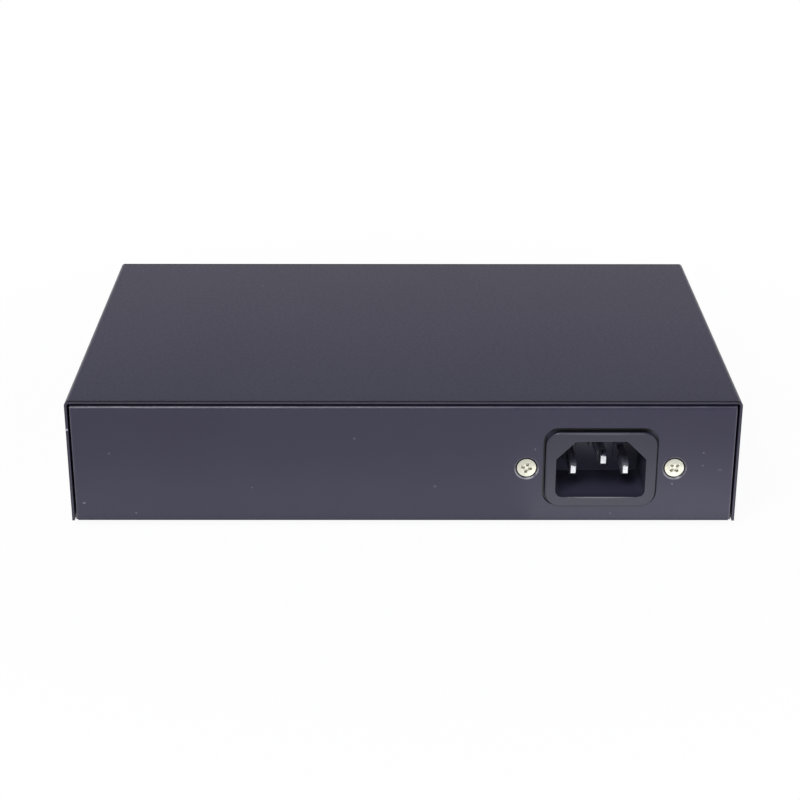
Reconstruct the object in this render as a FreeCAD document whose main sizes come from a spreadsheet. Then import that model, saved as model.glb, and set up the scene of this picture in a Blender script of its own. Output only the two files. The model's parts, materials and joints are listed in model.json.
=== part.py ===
import FreeCAD, Part
import math
import os
from collections import namedtuple

import Sketcher

# Desktop power-over-Ethernet switch in a folded steel case. Millimetres, +Z up, origin under the centre
# of the case. The network sockets face -Y and the mains inlet faces +Y.

SIZES = {
    # Case: a folded base tray with both end panels, and a folded cover over it.
    "case_width": 181,
    "case_depth": 114,
    "case_height": 35.3,
    "sheet": 0.8,
    "bend_radius": 0.4,
    "lid_gap": 0.5,
    "flange_gap": 0.75,
    "lip_width": 7,
    "tab_depth": 10,
    "tab_margin": 2,
    "rail_height": 7,
    "rail_gap": 3,
    "corner_relief": 1.2,
    "vent_width": 2.2,
    "vent_height": 14,
    "vent_corner_radius": 0.9,
    "vent_pitch": 5,
    "vent_count": 14,
    "vent_base": 11,
    # Feet.
    "foot_height": 2,
    "foot_diameter": 12,
    "foot_inset": 14,
    "foot_chamfer": 0.4,
    # Countersunk screws, their pressed dimples and nuts.
    "screw_diameter": 3,
    "thread_slack": 0.1,
    "screw_hole_slack": 0.4,
    "head_diameter": 5.4,
    "head_recess": 0.05,
    "head_seat_slack": 0.05,
    "thread_lead": 0.1,
    "dimple_ring": 1,
    "dimple_wall": 1.1,
    "cross_length": 3,
    "cross_width": 0.8,
    "cross_depth": 1.1,
    "cover_screw_length": 5,
    "cover_screw_height": 20,
    "cover_screw_inset": 6,
    "inlet_screw_length": 12,
    "nut_flats": 5.5,
    "nut_thickness": 2.4,
    # Mains inlet.
    "inlet_inset": 37.2,
    "inlet_height": 15.8,
    "inlet_screw_pitch": 40,
    "cutout_slack": 0.6,
    "shroud_width": 30,
    "shroud_height": 21.8,
    "shroud_radius": 4,
    "shroud_proud": 1,
    "ear_width": 49,
    "ear_height": 25,
    "ear_thickness": 3,
    "ear_radius": 3,
    "ear_seat_slack": 0.3,
    "inlet_body_width": 28,
    "inlet_body_height": 20,
    "inlet_body_depth": 19.5,
    "cavity_width": 24.2,
    "cavity_height": 16.4,
    "cavity_depth": 17.5,
    "cavity_chamfer": 5.2,
    "cavity_radius": 2,
    "blade_thickness": 2,
    "blade_height": 4,
    "blade_spread": 14,
    "live_drop": 2,
    "earth_rise": 2,
    "live_setback": 3.7,
    "earth_setback": 1.6,
    "taper_length": 1.2,
    "tip_thickness": 1.6,
    "tip_height": 2.5,
    "tail_thickness": 0.8,
    "tail_height": 4.8,
    "tail_length": 8,
    # Wiring.
    "boot_length": 13,
    "boot_width": 5,
    "boot_height": 7,
    "boot_overlap": 6,
    "wire_diameter": 2.2,
    "wire_bend": 4,
    "wire_insertion": 3,
    "wire_hole_slack": 0.2,
    "earth_stud_diameter": 4,
    "earth_stud_length": 8,
    "earth_stud_inset": 18.5,
    "earth_drop_setback": 45.2,
    "earth_nut_flats": 7,
    "earth_nut_thickness": 3.2,
    "lug_thickness": 0.8,
    "lug_diameter": 8.5,
    "lug_hole_slack": 0.2,
    "lug_reach": 6,
    "barrel_diameter": 4.2,
    "barrel_length": 5,
    # Circuit boards and what carries them.
    "board_thickness": 1.6,
    "board_side_gap": 1.2,
    "board_front_gap": 0.5,
    "main_board_depth": 54,
    "psu_board_width": 109,
    "psu_board_depth": 49.5,
    "psu_rear_gap": 3.2,
    "standoff_height": 6,
    "standoff_diameter": 5.5,
    "board_hole_slack": 0.3,
    "main_hole_side": 4.5,
    "main_hole_front": 25.5,
    "main_hole_rear": 4.5,
    "psu_hole_left": 14,
    "psu_hole_right": 5,
    "psu_hole_end": 4.25,
    "board_screw_head": 5.5,
    "board_screw_head_height": 1.8,
    "board_screw_length": 6,
    "insulator_thickness": 0.3,
    "insulator_margin": 1,
    "insulator_hole_slack": 1,
    # Network sockets.
    "jack_pitch": 13.97,
    "jack_end_wall": 1.1,
    "jack_height": 13.4,
    "jack_depth": 21.5,
    "jack_proud": 1,
    "jack_row_inset": 6,
    "jack_group_gap": 3,
    "jack_cutout_slack": 0.25,
    "shield_thickness": 0.25,
    "port_width": 11.8,
    "port_height": 7,
    "port_depth": 13,
    "port_floor": 3.6,
    "latch_width": 6.2,
    "latch_height": 1.5,
    "notch_width": 3.4,
    "notch_height": 1.2,
    "window_width": 3.4,
    "window_height": 1.8,
    "window_length": 5,
    "window_offset": 4.6,
    "window_rise": 0.25,
    "contact_pitch": 1.02,
    "contact_width": 0.45,
    "contact_thickness": 0.35,
    "contact_setback": 3,
    "contact_flat": 1,
    "contact_reach": 7,
    "contact_drop": 2,
    # Status lamps beside the sockets.
    "lamp_diameter": 3,
    "lamp_proud": 0.8,
    "lamp_length": 7,
    "lamp_gap": 2,
    "lamp_spacing": 5,
    "lamp_height": 5.5,
    "lamp_hole_slack": 0.4,
    "lamp_block_width": 10,
    "lamp_block_depth": 5,
    "lamp_block_height": 8.5,
    # Parts on the main board, behind the sockets: from the case's middle or from the board's right end.
    "magnetic_width": 17,
    "magnetic_depth": 8.5,
    "magnetic_height": 6.2,
    "magnetic_gap": 1.5,
    "chip_side": 16,
    "chip_height": 1.4,
    "chip_x": -25,
    "part_row_gap": 2.5,
    "fin_base": 2,
    "fin_height": 7,
    "fin_thickness": 1.2,
    "fin_count": 5,
    "controller_side": 9,
    "controller_height": 1,
    "controller_x": 22,
    "controller_pitch": 14,
    "crystal_length": 11,
    "crystal_width": 4.7,
    "crystal_height": 3.6,
    "crystal_x": -50,
    "small_can_diameter": 8,
    "small_can_height": 12,
    "small_can_right": 34.95,
    "small_can_pitch": 9.2,
    "can_crimp": 0.4,
    "can_crimp_height": 2,
    "can_edge": 0.6,
    "inductor_side": 12,
    "inductor_height": 6.5,
    "inductor_x": 2,
    "inductor_corner": 2,
    "dc_socket_length": 11,
    "dc_socket_width": 7,
    "dc_socket_height": 8,
    "dc_socket_right": 26.95,
    "dc_socket_gap": 1.5,
    "wire_pitch": 3.96,
    "dc_arch": 8,
    # Parts on the power supply board, placed from its left and front edges.
    "ac_socket_length": 9,
    "ac_socket_width": 14,
    "ac_socket_height": 9,
    "ac_socket_left": 0.5,
    "ac_socket_front": 0.5,
    "fuse_length": 20,
    "fuse_diameter": 5,
    "fuse_cap_length": 5,
    "fuse_cap_step": 0.2,
    "fuse_left": 19.5,
    "fuse_front": 6.5,
    "fuse_lift": 4.5,
    "clip_length": 3.5,
    "clip_width": 7.4,
    "clip_height": 8.5,
    "clip_inset": 0.8,
    "clip_slack": 0.05,
    "filter_can_length": 18,
    "filter_can_width": 8.5,
    "filter_can_height": 14,
    "filter_can_left": 21,
    "filter_can_front": 12.5,
    "choke_left": 13,
    "choke_front": 32.5,
    "choke_diameter": 22,
    "choke_bore": 11,
    "choke_width": 8,
    "choke_winding": 1.2,
    "choke_sweep": 330,
    "bulk_can_diameter": 18,
    "bulk_can_height": 22,
    "bulk_can_left": 35.5,
    "bulk_can_front": 34.5,
    "bridge_length": 15,
    "bridge_width": 4.6,
    "bridge_height": 11,
    "bridge_left": 44,
    "bridge_front": 3,
    "bridge_notch": 3,
    "sink_plate": 2,
    "sink_fin": 5,
    "sink_fin_thickness": 1.6,
    "sink_fin_count": 5,
    "sink_length": 28,
    "sink_height": 20,
    "sink_front": 12.5,
    "primary_sink_left": 47.5,
    "psu_part_gap": 2,
    "switch_width": 10,
    "switch_thickness": 4.5,
    "switch_height": 15.5,
    "switch_tab_height": 6,
    "switch_tab_thickness": 1.3,
    "switch_front": 18,
    "transformer_front": 25,
    "core_width": 25,
    "core_depth": 11,
    "core_height": 22,
    "core_yoke": 3.5,
    "core_leg": 7,
    "coil_slack": 0.2,
    "coil_bulge": 5.5,
    "output_can_diameter": 8,
    "output_can_height": 20,
    "output_can_pitch": 9.2,
    "output_can_right": 5,
    "output_can_front": 14.5,
}

GROUPS = (("lan_jack_left", 4), ("lan_jack_right", 4), ("uplink_jack", 2))
CONTACTS_PER_PORT = 8

# Levels and faces that several pieces share.
BASE = "Dim.foot_height"
FLOOR = "(Dim.foot_height + Dim.sheet)"
LID_TOP = "(Dim.foot_height + Dim.case_height)"
PANEL_TOP = "(Dim.foot_height + Dim.case_height - Dim.sheet - Dim.lid_gap)"
SIDE = "(Dim.case_width / 2)"
END = "(Dim.case_depth / 2)"
END_INSIDE = "(Dim.case_depth / 2 - Dim.sheet)"
COVER_INSIDE = "(Dim.case_width / 2 - Dim.sheet)"
TAB_FACE = "(Dim.case_width / 2 - Dim.sheet - Dim.flange_gap)"
TAB_INSIDE = "(Dim.case_width / 2 - 2 * Dim.sheet - Dim.flange_gap)"
BOARD_UNDER = f"({FLOOR} + Dim.standoff_height)"
BOARD_TOP = f"({FLOOR} + Dim.standoff_height + Dim.board_thickness)"
BOARD_SIDE = f"({TAB_INSIDE} - Dim.board_side_gap)"
MAIN_FRONT = f"(-{END_INSIDE} + Dim.board_front_gap)"
MAIN_REAR = f"({MAIN_FRONT} + Dim.main_board_depth)"
PSU_LEFT = f"({BOARD_SIDE} - Dim.psu_board_width)"
PSU_REAR = f"({END_INSIDE} - Dim.psu_rear_gap)"
PSU_FRONT = f"({PSU_REAR} - Dim.psu_board_depth)"
INLET_X = "(-Dim.case_width / 2 + Dim.inlet_inset)"
INLET_Z = "(Dim.foot_height + Dim.inlet_height)"
INLET_MOUTH = f"({END} + Dim.shroud_proud)"
INLET_BACK = f"({END_INSIDE} - Dim.inlet_body_depth)"
LIVE_Z = f"({INLET_Z} - Dim.live_drop)"
EARTH_Z = f"({INLET_Z} + Dim.earth_rise)"
TAIL_END = f"({INLET_BACK} - Dim.tail_length)"
BOOT_END = f"({TAIL_END} + Dim.boot_overlap - Dim.boot_length)"
JACK_FRONT = f"(-{END} - Dim.jack_proud)"
JACK_BACK = f"({JACK_FRONT} + Dim.jack_depth)"
JACK_TOP = f"({BOARD_TOP} + Dim.jack_height)"
PORT_CEILING = f"({BOARD_TOP} + Dim.port_floor + Dim.port_height)"
MAGNETIC_FRONT = f"({JACK_BACK} + Dim.magnetic_gap)"
PART_ROW = f"({MAGNETIC_FRONT} + Dim.magnetic_depth + Dim.part_row_gap)"
AC_SOCKET_Y = f"({PSU_FRONT} + Dim.ac_socket_front + Dim.ac_socket_width / 2)"
SHANK_RADIUS = "((Dim.screw_diameter - Dim.thread_slack) / 2)"
HOLE_RADIUS = "((Dim.screw_diameter + Dim.screw_hole_slack) / 2)"
DIMPLE_RADIUS = "((Dim.head_diameter + Dim.dimple_ring) / 2)"
DIMPLE_BACK_RADIUS = f"({DIMPLE_RADIUS} - Dim.sheet + Dim.dimple_wall)"
HEAD_LAND = "(Dim.dimple_ring / 2 - Dim.head_recess - Dim.head_seat_slack)"
SCREW_Y = f"({END} - Dim.cover_screw_inset)"
SCREW_Z = "(Dim.foot_height + Dim.cover_screw_height)"
EARTH_STUD_X = "(-Dim.case_width / 2 + Dim.earth_stud_inset)"
EARTH_STUD_Y = f"({END_INSIDE} - Dim.earth_drop_setback)"
BARREL_Z = f"({FLOOR} + Dim.barrel_diameter / 2)"
BARREL_START = f"({EARTH_STUD_X} + Dim.lug_reach)"

Disc = namedtuple("Disc", "x y diameter")
Rounded = namedtuple("Rounded", "left bottom right top radius")

doc = FreeCAD.newDocument("poe_switch")
sheet = doc.addObject("Spreadsheet::Sheet", "Dim")
for row, (alias, size) in enumerate(SIZES.items(), start=1):
    sheet.set(f"A{row}", alias)
    sheet.set(f"B{row}", str(size))
    sheet.setAlias(f"B{row}", alias)
doc.recompute()

nodes = []


def new_body(label):
    """Starts a sub-part made by sketches and features."""
    body = doc.addObject("PartDesign::Body", label)
    body.AllowCompound = True
    nodes.append(body)
    return body


def origin_part(body, role):
    """Gives one of the body's own origin planes or axes."""
    return next(feature for feature in body.Origin.OriginFeatures if feature.Role == role)


def rectangle(left, bottom, right, top):
    """Corners of an upright rectangle."""
    return [(left, bottom), (right, bottom), (right, top), (left, top)]


def centred(x, y, width, height):
    """Corners of a rectangle about its middle."""
    return rectangle(
        f"{x} - {width} / 2", f"{y} - {height} / 2", f"{x} + {width} / 2", f"{y} + {height} / 2"
    )


def fix_point(sketch, geometry, point, x, y):
    """Ties a sketch point to formulas for its place, starting from where it was drawn."""
    drawn = sketch.getPoint(geometry, point)
    for kind, formula, place in (("DistanceX", x, drawn.x), ("DistanceY", y, drawn.y)):
        if formula is not None:
            index = sketch.addConstraint(Sketcher.Constraint(kind, -1, 1, geometry, point, place))
            sketch.setExpression(f"Constraints[{index}]", formula)


def draw_polygon(sketch, corners):
    """Draws straight edges from corner to corner."""
    first = sketch.GeometryCount
    count = len(corners)
    for step in range(count):
        start = FreeCAD.Vector(step, step**2, 0)
        end = FreeCAD.Vector(step + 1, (step + 1) ** 2, 0)
        sketch.addGeometry(Part.LineSegment(start, end))
    for step, (x, y) in enumerate(corners):
        edge = first + step
        sketch.addConstraint(Sketcher.Constraint("Coincident", edge, 2, first + (step + 1) % count, 1))
        fix_point(sketch, edge, 1, x, y)


def draw_disc(sketch, disc):
    """Draws a circle."""
    circle = Part.Circle(FreeCAD.Vector(0, 0, 0), FreeCAD.Vector(0, 0, 1), 1)
    index = sketch.addGeometry(circle)
    fix_point(sketch, index, 3, disc.x, disc.y)
    size = sketch.addConstraint(Sketcher.Constraint("Diameter", index, 2.0))
    sketch.setExpression(f"Constraints[{size}]", disc.diameter)


def draw_rounded(sketch, shape):
    """Draws a rectangle with round corners, as four lines and four arcs."""
    left, bottom, right, top, radius = shape
    near_left, near_right = f"{left} + {radius}", f"{right} - {radius}"
    near_bottom, near_top = f"{bottom} + {radius}", f"{top} - {radius}"
    sides = (
        ((near_left, bottom), (near_right, bottom), near_right),
        ((right, near_bottom), (right, near_top), near_right),
        ((near_right, top), (near_left, top), near_left),
        ((left, near_top), (left, near_bottom), near_left),
    )
    first = sketch.GeometryCount
    drawn_half, drawn_radius = 10, 2
    reach = drawn_half - drawn_radius
    up, quarter = FreeCAD.Vector(0, 0, 1), math.pi / 2
    turn = FreeCAD.Rotation(up, math.degrees(quarter))
    start, end = FreeCAD.Vector(-reach, -drawn_half, 0), FreeCAD.Vector(reach, -drawn_half, 0)
    centre = FreeCAD.Vector(reach, -reach, 0)
    for side in range(4):
        sketch.addGeometry(Part.LineSegment(start, end))
        corner = Part.Circle(centre, up, drawn_radius)
        angle = quarter * (side - 1)
        sketch.addGeometry(Part.ArcOfCircle(corner, angle, angle + quarter))
        start, end, centre = turn.multVec(start), turn.multVec(end), turn.multVec(centre)
    for side, (begin, finish, arc_x) in enumerate(sides):
        line, arc = first + 2 * side, first + 2 * side + 1
        sketch.addConstraint(Sketcher.Constraint("Coincident", line, 2, arc, 1))
        sketch.addConstraint(Sketcher.Constraint("Coincident", arc, 2, first + (2 * side + 2) % 8, 1))
        fix_point(sketch, line, 1, *begin)
        fix_point(sketch, line, 2, *finish)
        fix_point(sketch, arc, 3, arc_x, None)


def draw(body, name, role, loops, origin):
    """Draws closed loops on a plane of the body, whose origin is moved there."""
    sketch = body.newObject("Sketcher::SketchObject", name)
    sketch.AttachmentSupport = (origin_part(body, role), [""])
    sketch.MapMode = "FlatFace"
    for axis, formula in zip("xyz", origin):
        sketch.setExpression(f"AttachmentOffset.Base.{axis}", formula)
    for loop in loops:
        if isinstance(loop, Disc):
            draw_disc(sketch, loop)
        elif isinstance(loop, Rounded):
            draw_rounded(sketch, loop)
        else:
            draw_polygon(sketch, loop)
    return sketch


def slab(body, name, role, loops, start, end, cut=False):
    """Adds or cuts between two levels; a pad leaves its sketch forwards, a cut backwards."""
    faces_front = role == "XZ_Plane"
    level = end if cut != faces_front else start
    offset = f"-({level})" if faces_front else level
    before = body.Shape.Volume if cut else 0
    sketch = draw(body, f"{name}_outline", role, loops, ("0", "0", offset))
    feature = body.newObject("PartDesign::Pocket" if cut else "PartDesign::Pad", name)
    feature.Profile = sketch
    feature.setExpression("Length", f"({end}) - ({start})")
    doc.recompute()
    if cut and not feature.Shape.Volume < before:
        raise ValueError(f"{name} cuts nothing")
    return feature


def turned(body, name, axis, profile, origin, cut=False, sweep=None):
    """Turns a level profile about the sketch's own H_Axis (along X) or V_Axis (along Y)."""
    before = body.Shape.Volume if cut else 0
    sketch = draw(body, f"{name}_profile", "XY_Plane", profile, origin)
    feature = body.newObject("PartDesign::Groove" if cut else "PartDesign::Revolution", name)
    feature.Profile = sketch
    feature.ReferenceAxis = (sketch, [axis])
    if sweep:
        feature.Midplane = True
        feature.setExpression("Angle", sweep)
    doc.recompute()
    if cut and not feature.Shape.Volume < before:
        raise ValueError(f"{name} cuts nothing")
    return feature


def repeated(body, name, originals, steps):
    """Repeats features, each step a mirror plane or an axis with its spacing and count."""
    pattern = body.newObject("PartDesign::MultiTransform", name)
    pattern.Originals = originals
    transforms = []
    for number, step in enumerate(steps, start=1):
        if isinstance(step, str):
            transform = body.newObject("PartDesign::Mirrored", f"{name}_mirror_{number}")
            transform.MirrorPlane = (origin_part(body, step), [""])
        else:
            role, spacing, count = step
            transform = body.newObject("PartDesign::LinearPattern", f"{name}_row_{number}")
            transform.Direction = (origin_part(body, role), [""])
            transform.Mode = "Spacing"
            transform.setExpression("Offset", spacing)
            transform.setExpression("Occurrences", count)
        transforms.append(transform)
    pattern.Transformations = transforms
    body.Tip = pattern
    doc.recompute()
    return pattern


def corner_edges(feature, outline, corners):
    """Names the feature's edges that rise from these corners of its outline."""
    facing = outline.Placement.Rotation.multVec(FreeCAD.Vector(0, 0, 1))
    names = []
    for corner in corners:
        point = outline.Placement.multVec(outline.getPoint(corner, 1))
        for index, edge in enumerate(feature.Shape.Edges, start=1):
            ends = [vertex.Point - point for vertex in edge.Vertexes]
            if len(ends) == 2 and all(end.cross(facing).Length < 1e-4 for end in ends):
                names.append(f"Edge{index}")
    return names


def soften(body, name, kind, feature, edges, size):
    """Adds a fillet or a chamfer to these edges of a feature."""
    softened = body.newObject(f"PartDesign::{kind}", name)
    softened.Base = (feature, edges)
    softened.setExpression("Radius" if kind == "Fillet" else "Size", size)
    doc.recompute()
    return softened


def edges_at_level(shape, level):
    """Names the edges that lie wholly at this height."""
    return [
        f"Edge{index}"
        for index, edge in enumerate(shape.Edges, start=1)
        if abs(edge.BoundBox.ZMin - level) < 1e-4 and abs(edge.BoundBox.ZMax - level) < 1e-4
    ]


def bind(target, formulas):
    """Ties properties of a primitive to formulas."""
    for name, formula in formulas.items():
        target.setExpression(name, formula)


def block(label, corner, size):
    """Makes a plain box from its lowest corner."""
    box = doc.addObject("Part::Box", label)
    bind(box, dict(zip(("Placement.Base.x", "Placement.Base.y", "Placement.Base.z"), corner)))
    bind(box, dict(zip(("Length", "Width", "Height"), size)))
    return box


def blocks(label, corners, size):
    """Makes one sub-part of equal boxes."""
    group = doc.addObject("Part::Compound", label)
    group.Links = [block(f"{label}_{number}", corner, size) for number, corner in enumerate(corners, start=1)]
    nodes.append(group)


def cross(x, y):
    """Outline of a cross recess."""
    arm, half = "Dim.cross_length / 2", "Dim.cross_width / 2"
    steps = (
        (arm, half), (half, half), (half, arm),
        (f"-{half}", arm), (f"-{half}", half), (f"-{arm}", half),
        (f"-{arm}", f"-{half}"), (f"-{half}", f"-{half}"), (f"-{half}", f"-{arm}"),
        (half, f"-{arm}"), (half, f"-{half}"), (arm, f"-{half}"),
    )
    return [(f"{x} + {across}", f"{y} + {up}") for across, up in steps]


def hexagon(x, y, flats):
    """Outline of a nut."""
    reach = f"{flats} / sqrt(3)"
    return [
        (f"{x} + {reach}", y),
        (f"{x} + {reach} / 2", f"{y} + {flats} / 2"),
        (f"{x} - {reach} / 2", f"{y} + {flats} / 2"),
        (f"{x} - {reach}", y),
        (f"{x} - {reach} / 2", f"{y} - {flats} / 2"),
        (f"{x} + {reach} / 2", f"{y} - {flats} / 2"),
    ]


def group_places():
    """Gives each socket group's name, port count and left edge."""
    left = f"(-{SIDE} + Dim.jack_row_inset)"
    for name, count in GROUPS:
        yield name, count, left
        left = f"({left} + {count} * Dim.jack_pitch + 2 * Dim.jack_end_wall + Dim.jack_group_gap)"


def group_right(left, count):
    """Gives a socket group's right edge."""
    return f"({left} + {count} * Dim.jack_pitch + 2 * Dim.jack_end_wall)"


def port_x(left, port):
    """Gives the middle of one port of a group."""
    return f"({left} + Dim.jack_end_wall + {port + 0.5} * Dim.jack_pitch)"


def all_ports():
    """Gives the middle of every port."""
    return [port_x(left, port) for _, count, left in group_places() for port in range(count)]


def chassis_base():
    """The tray: floor, front and rear panels with their top lips, side tabs and rails."""
    body = new_body("chassis_base")
    lip = f"({END_INSIDE} - Dim.lip_width)"
    under_lip = f"({PANEL_TOP} - Dim.sheet)"
    rear = [
        (END, BASE), (END, PANEL_TOP), (lip, PANEL_TOP), (lip, under_lip),
        (END_INSIDE, under_lip), (END_INSIDE, FLOOR),
    ]
    front = [(f"-{y}", z) for y, z in reversed(rear)]
    tray = slab(body, "tray", "YZ_Plane", [rear + front], f"-{TAB_FACE}", TAB_FACE)
    outline = tray.Profile[0]
    outer = corner_edges(tray, outline, (0, 1, 10, 11))
    bent = soften(body, "outer_bends", "Fillet", tray, outer, "Dim.bend_radius + Dim.sheet")
    inner = corner_edges(bent, outline, (4, 5, 6, 7))
    soften(body, "inner_bends", "Fillet", bent, inner, "Dim.bend_radius")
    tab_end = f"({END_INSIDE} - Dim.tab_depth)"
    rail_end = f"({tab_end} - Dim.rail_gap)"
    tabs = [
        rectangle(TAB_INSIDE, tab_end, TAB_FACE, END_INSIDE),
        rectangle(TAB_INSIDE, f"-{END_INSIDE}", TAB_FACE, f"-{tab_end}"),
        rectangle(f"-{TAB_FACE}", tab_end, f"-{TAB_INSIDE}", END_INSIDE),
        rectangle(f"-{TAB_FACE}", f"-{END_INSIDE}", f"-{TAB_INSIDE}", f"-{tab_end}"),
    ]
    slab(body, "tabs", "XY_Plane", tabs, f"{FLOOR} + Dim.tab_margin", f"{under_lip} - Dim.tab_margin")
    rails = [
        rectangle(TAB_INSIDE, f"-{rail_end}", TAB_FACE, rail_end),
        rectangle(f"-{TAB_FACE}", f"-{rail_end}", f"-{TAB_INSIDE}", rail_end),
    ]
    slab(body, "rails", "XY_Plane", rails, FLOOR, f"{FLOOR} + Dim.rail_height")
    reliefs = [
        rectangle(f"{x} - Dim.corner_relief", f"{y} - Dim.corner_relief",
                  f"{x} + Dim.corner_relief", f"{y} + Dim.corner_relief")
        for x in (TAB_FACE, f"-{TAB_FACE}")
        for y in (END, f"-{END}")
    ]
    slab(body, "corner_reliefs", "XY_Plane", reliefs, BASE, f"{BASE} + Dim.corner_relief", cut=True)
    wide = f"max({DIMPLE_RADIUS} - Dim.sheet - Dim.flange_gap; Dim.screw_diameter / 2 + Dim.thread_lead)"
    narrow = "Dim.screw_diameter / 2"
    thread = [
        (TAB_FACE, "0"), (TAB_FACE, wide), (f"{TAB_FACE} - {wide} + {narrow}", narrow),
        (TAB_INSIDE, narrow), (TAB_INSIDE, "0"),
    ]
    tab_hole = turned(body, "tab_hole", "H_Axis", [thread], ("0", SCREW_Y, SCREW_Z), cut=True)
    repeated(body, "tab_holes", [tab_hole], ["YZ_Plane", "XZ_Plane"])
    slack = "Dim.jack_cutout_slack"
    openings = [
        rectangle(f"{left} - {slack}", f"{BOARD_TOP} - {slack}",
                  f"{group_right(left, count)} + {slack}", f"{JACK_TOP} + {slack}")
        for _, count, left in group_places()
    ]
    openings += [
        Disc(x, z, "Dim.lamp_diameter + Dim.lamp_hole_slack") for x, z in lamp_places()
    ]
    slab(body, "front_openings", "XZ_Plane", openings, f"-{END}", f"-{END_INSIDE}", cut=True)
    hole = Rounded(
        f"{INLET_X} - Dim.shroud_width / 2 - Dim.cutout_slack",
        f"{INLET_Z} - Dim.shroud_height / 2 - Dim.cutout_slack",
        f"{INLET_X} + Dim.shroud_width / 2 + Dim.cutout_slack",
        f"{INLET_Z} + Dim.shroud_height / 2 + Dim.cutout_slack",
        "(Dim.shroud_radius + Dim.cutout_slack)",
    )
    slab(body, "inlet_opening", "XZ_Plane", [hole], END_INSIDE, END, cut=True)
    for name, side in (("left_dimple", "+"), ("right_dimple", "-")):
        origin = (f"{INLET_X} {side} Dim.inlet_screw_pitch / 2", "0", INLET_Z)
        back = f"{END_INSIDE} - Dim.flange_gap"
        boss = [(DIMPLE_BACK_RADIUS, END_INSIDE), (f"{DIMPLE_BACK_RADIUS} - Dim.flange_gap", back)]
        turned(body, name, "V_Axis", [[("0", END_INSIDE)] + boss + [("0", back)]], origin)
        turned(body, f"{name}_recess", "V_Axis", [countersink(END, back)], origin, cut=True)


def countersink(face, back):
    """Profile of a dimple's cone and hole, as radius against height."""
    return [
        ("0", face),
        (DIMPLE_RADIUS, face),
        (HOLE_RADIUS, f"{face} - {DIMPLE_RADIUS} + {HOLE_RADIUS}"),
        (HOLE_RADIUS, back),
        ("0", back),
    ]


def countersunk_screw(face, length):
    """Profile of a screw whose head lies in a dimple, as radius against height."""
    top = f"{face} - Dim.head_recess"
    return [
        ("0", top),
        ("Dim.head_diameter / 2", top),
        ("Dim.head_diameter / 2", f"{top} - {HEAD_LAND}"),
        (SHANK_RADIUS, f"{top} - {HEAD_LAND} - Dim.head_diameter / 2 + {SHANK_RADIUS}"),
        (SHANK_RADIUS, f"{top} - {length}"),
        ("0", f"{top} - {length}"),
    ]


def swapped(profile):
    """Turns a profile of radius against height into one that lies along X."""
    return [(height, radius) for radius, height in profile]


def top_cover():
    """The cover: a flat top and two side flanges with vents and screw dimples."""
    body = new_body("top_cover")
    outline = [
        (f"-{SIDE}", BASE), (f"-{SIDE}", LID_TOP), (SIDE, LID_TOP), (SIDE, BASE),
        (COVER_INSIDE, BASE), (COVER_INSIDE, f"{LID_TOP} - Dim.sheet"),
        (f"-{COVER_INSIDE}", f"{LID_TOP} - Dim.sheet"), (f"-{COVER_INSIDE}", BASE),
    ]
    shell = slab(body, "shell", "XZ_Plane", [outline], f"-{END}", END)
    profile = shell.Profile[0]
    outer = corner_edges(shell, profile, (1, 2))
    bent = soften(body, "outer_bends", "Fillet", shell, outer, "Dim.bend_radius + Dim.sheet")
    soften(body, "inner_bends", "Fillet", bent, corner_edges(bent, profile, (5, 6)), "Dim.bend_radius")
    first = "(-(Dim.vent_count - 1) * Dim.vent_pitch / 2)"
    low = f"({BASE} + Dim.vent_base)"
    vent = Rounded(f"{first} - Dim.vent_width / 2", low, f"{first} + Dim.vent_width / 2",
                   f"{low} + Dim.vent_height", "Dim.vent_corner_radius")
    vents = slab(body, "vent", "YZ_Plane", [vent], f"-{SIDE}", SIDE, cut=True)
    repeated(body, "vents", [vents], [("Y_Axis", "Dim.vent_pitch", "Dim.vent_count")])
    origin = ("0", SCREW_Y, SCREW_Z)
    boss = [(DIMPLE_BACK_RADIUS, COVER_INSIDE), (f"{DIMPLE_BACK_RADIUS} - Dim.flange_gap", TAB_FACE)]
    raised = [[("0", COVER_INSIDE)] + boss + [("0", TAB_FACE)]]
    dimple = turned(body, "dimple", "H_Axis", [swapped(raised[0])], origin)
    recess = turned(body, "dimple_recess", "H_Axis", [swapped(countersink(SIDE, TAB_FACE))], origin, cut=True)
    repeated(body, "dimples", [dimple, recess], ["YZ_Plane", "XZ_Plane"])


def cover_screws():
    """Four countersunk screws that hold the cover to the base's tabs."""
    body = new_body("cover_screws")
    profile = swapped(countersunk_screw(SIDE, "Dim.cover_screw_length"))
    screw = turned(body, "screw", "H_Axis", [profile], ("0", SCREW_Y, SCREW_Z))
    top = f"{SIDE} - Dim.head_recess"
    mark = [cross(SCREW_Y, SCREW_Z)]
    recess = slab(body, "recess", "YZ_Plane", mark, f"{top} - Dim.cross_depth", top, cut=True)
    repeated(body, "four_screws", [screw, recess], ["YZ_Plane", "XZ_Plane"])


def rubber_feet():
    """Four feet under the floor."""
    body = new_body("rubber_feet")
    x, y = f"({SIDE} - Dim.foot_inset)", f"({END} - Dim.foot_inset)"
    places = [(x, y), (f"-{x}", y), (x, f"-{y}"), (f"-{x}", f"-{y}")]
    feet = slab(body, "pads", "XY_Plane", [Disc(*place, "Dim.foot_diameter") for place in places], "0", BASE)
    soften(body, "worn_edge", "Chamfer", feet, edges_at_level(feet.Shape, 0), "Dim.foot_chamfer")


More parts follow.
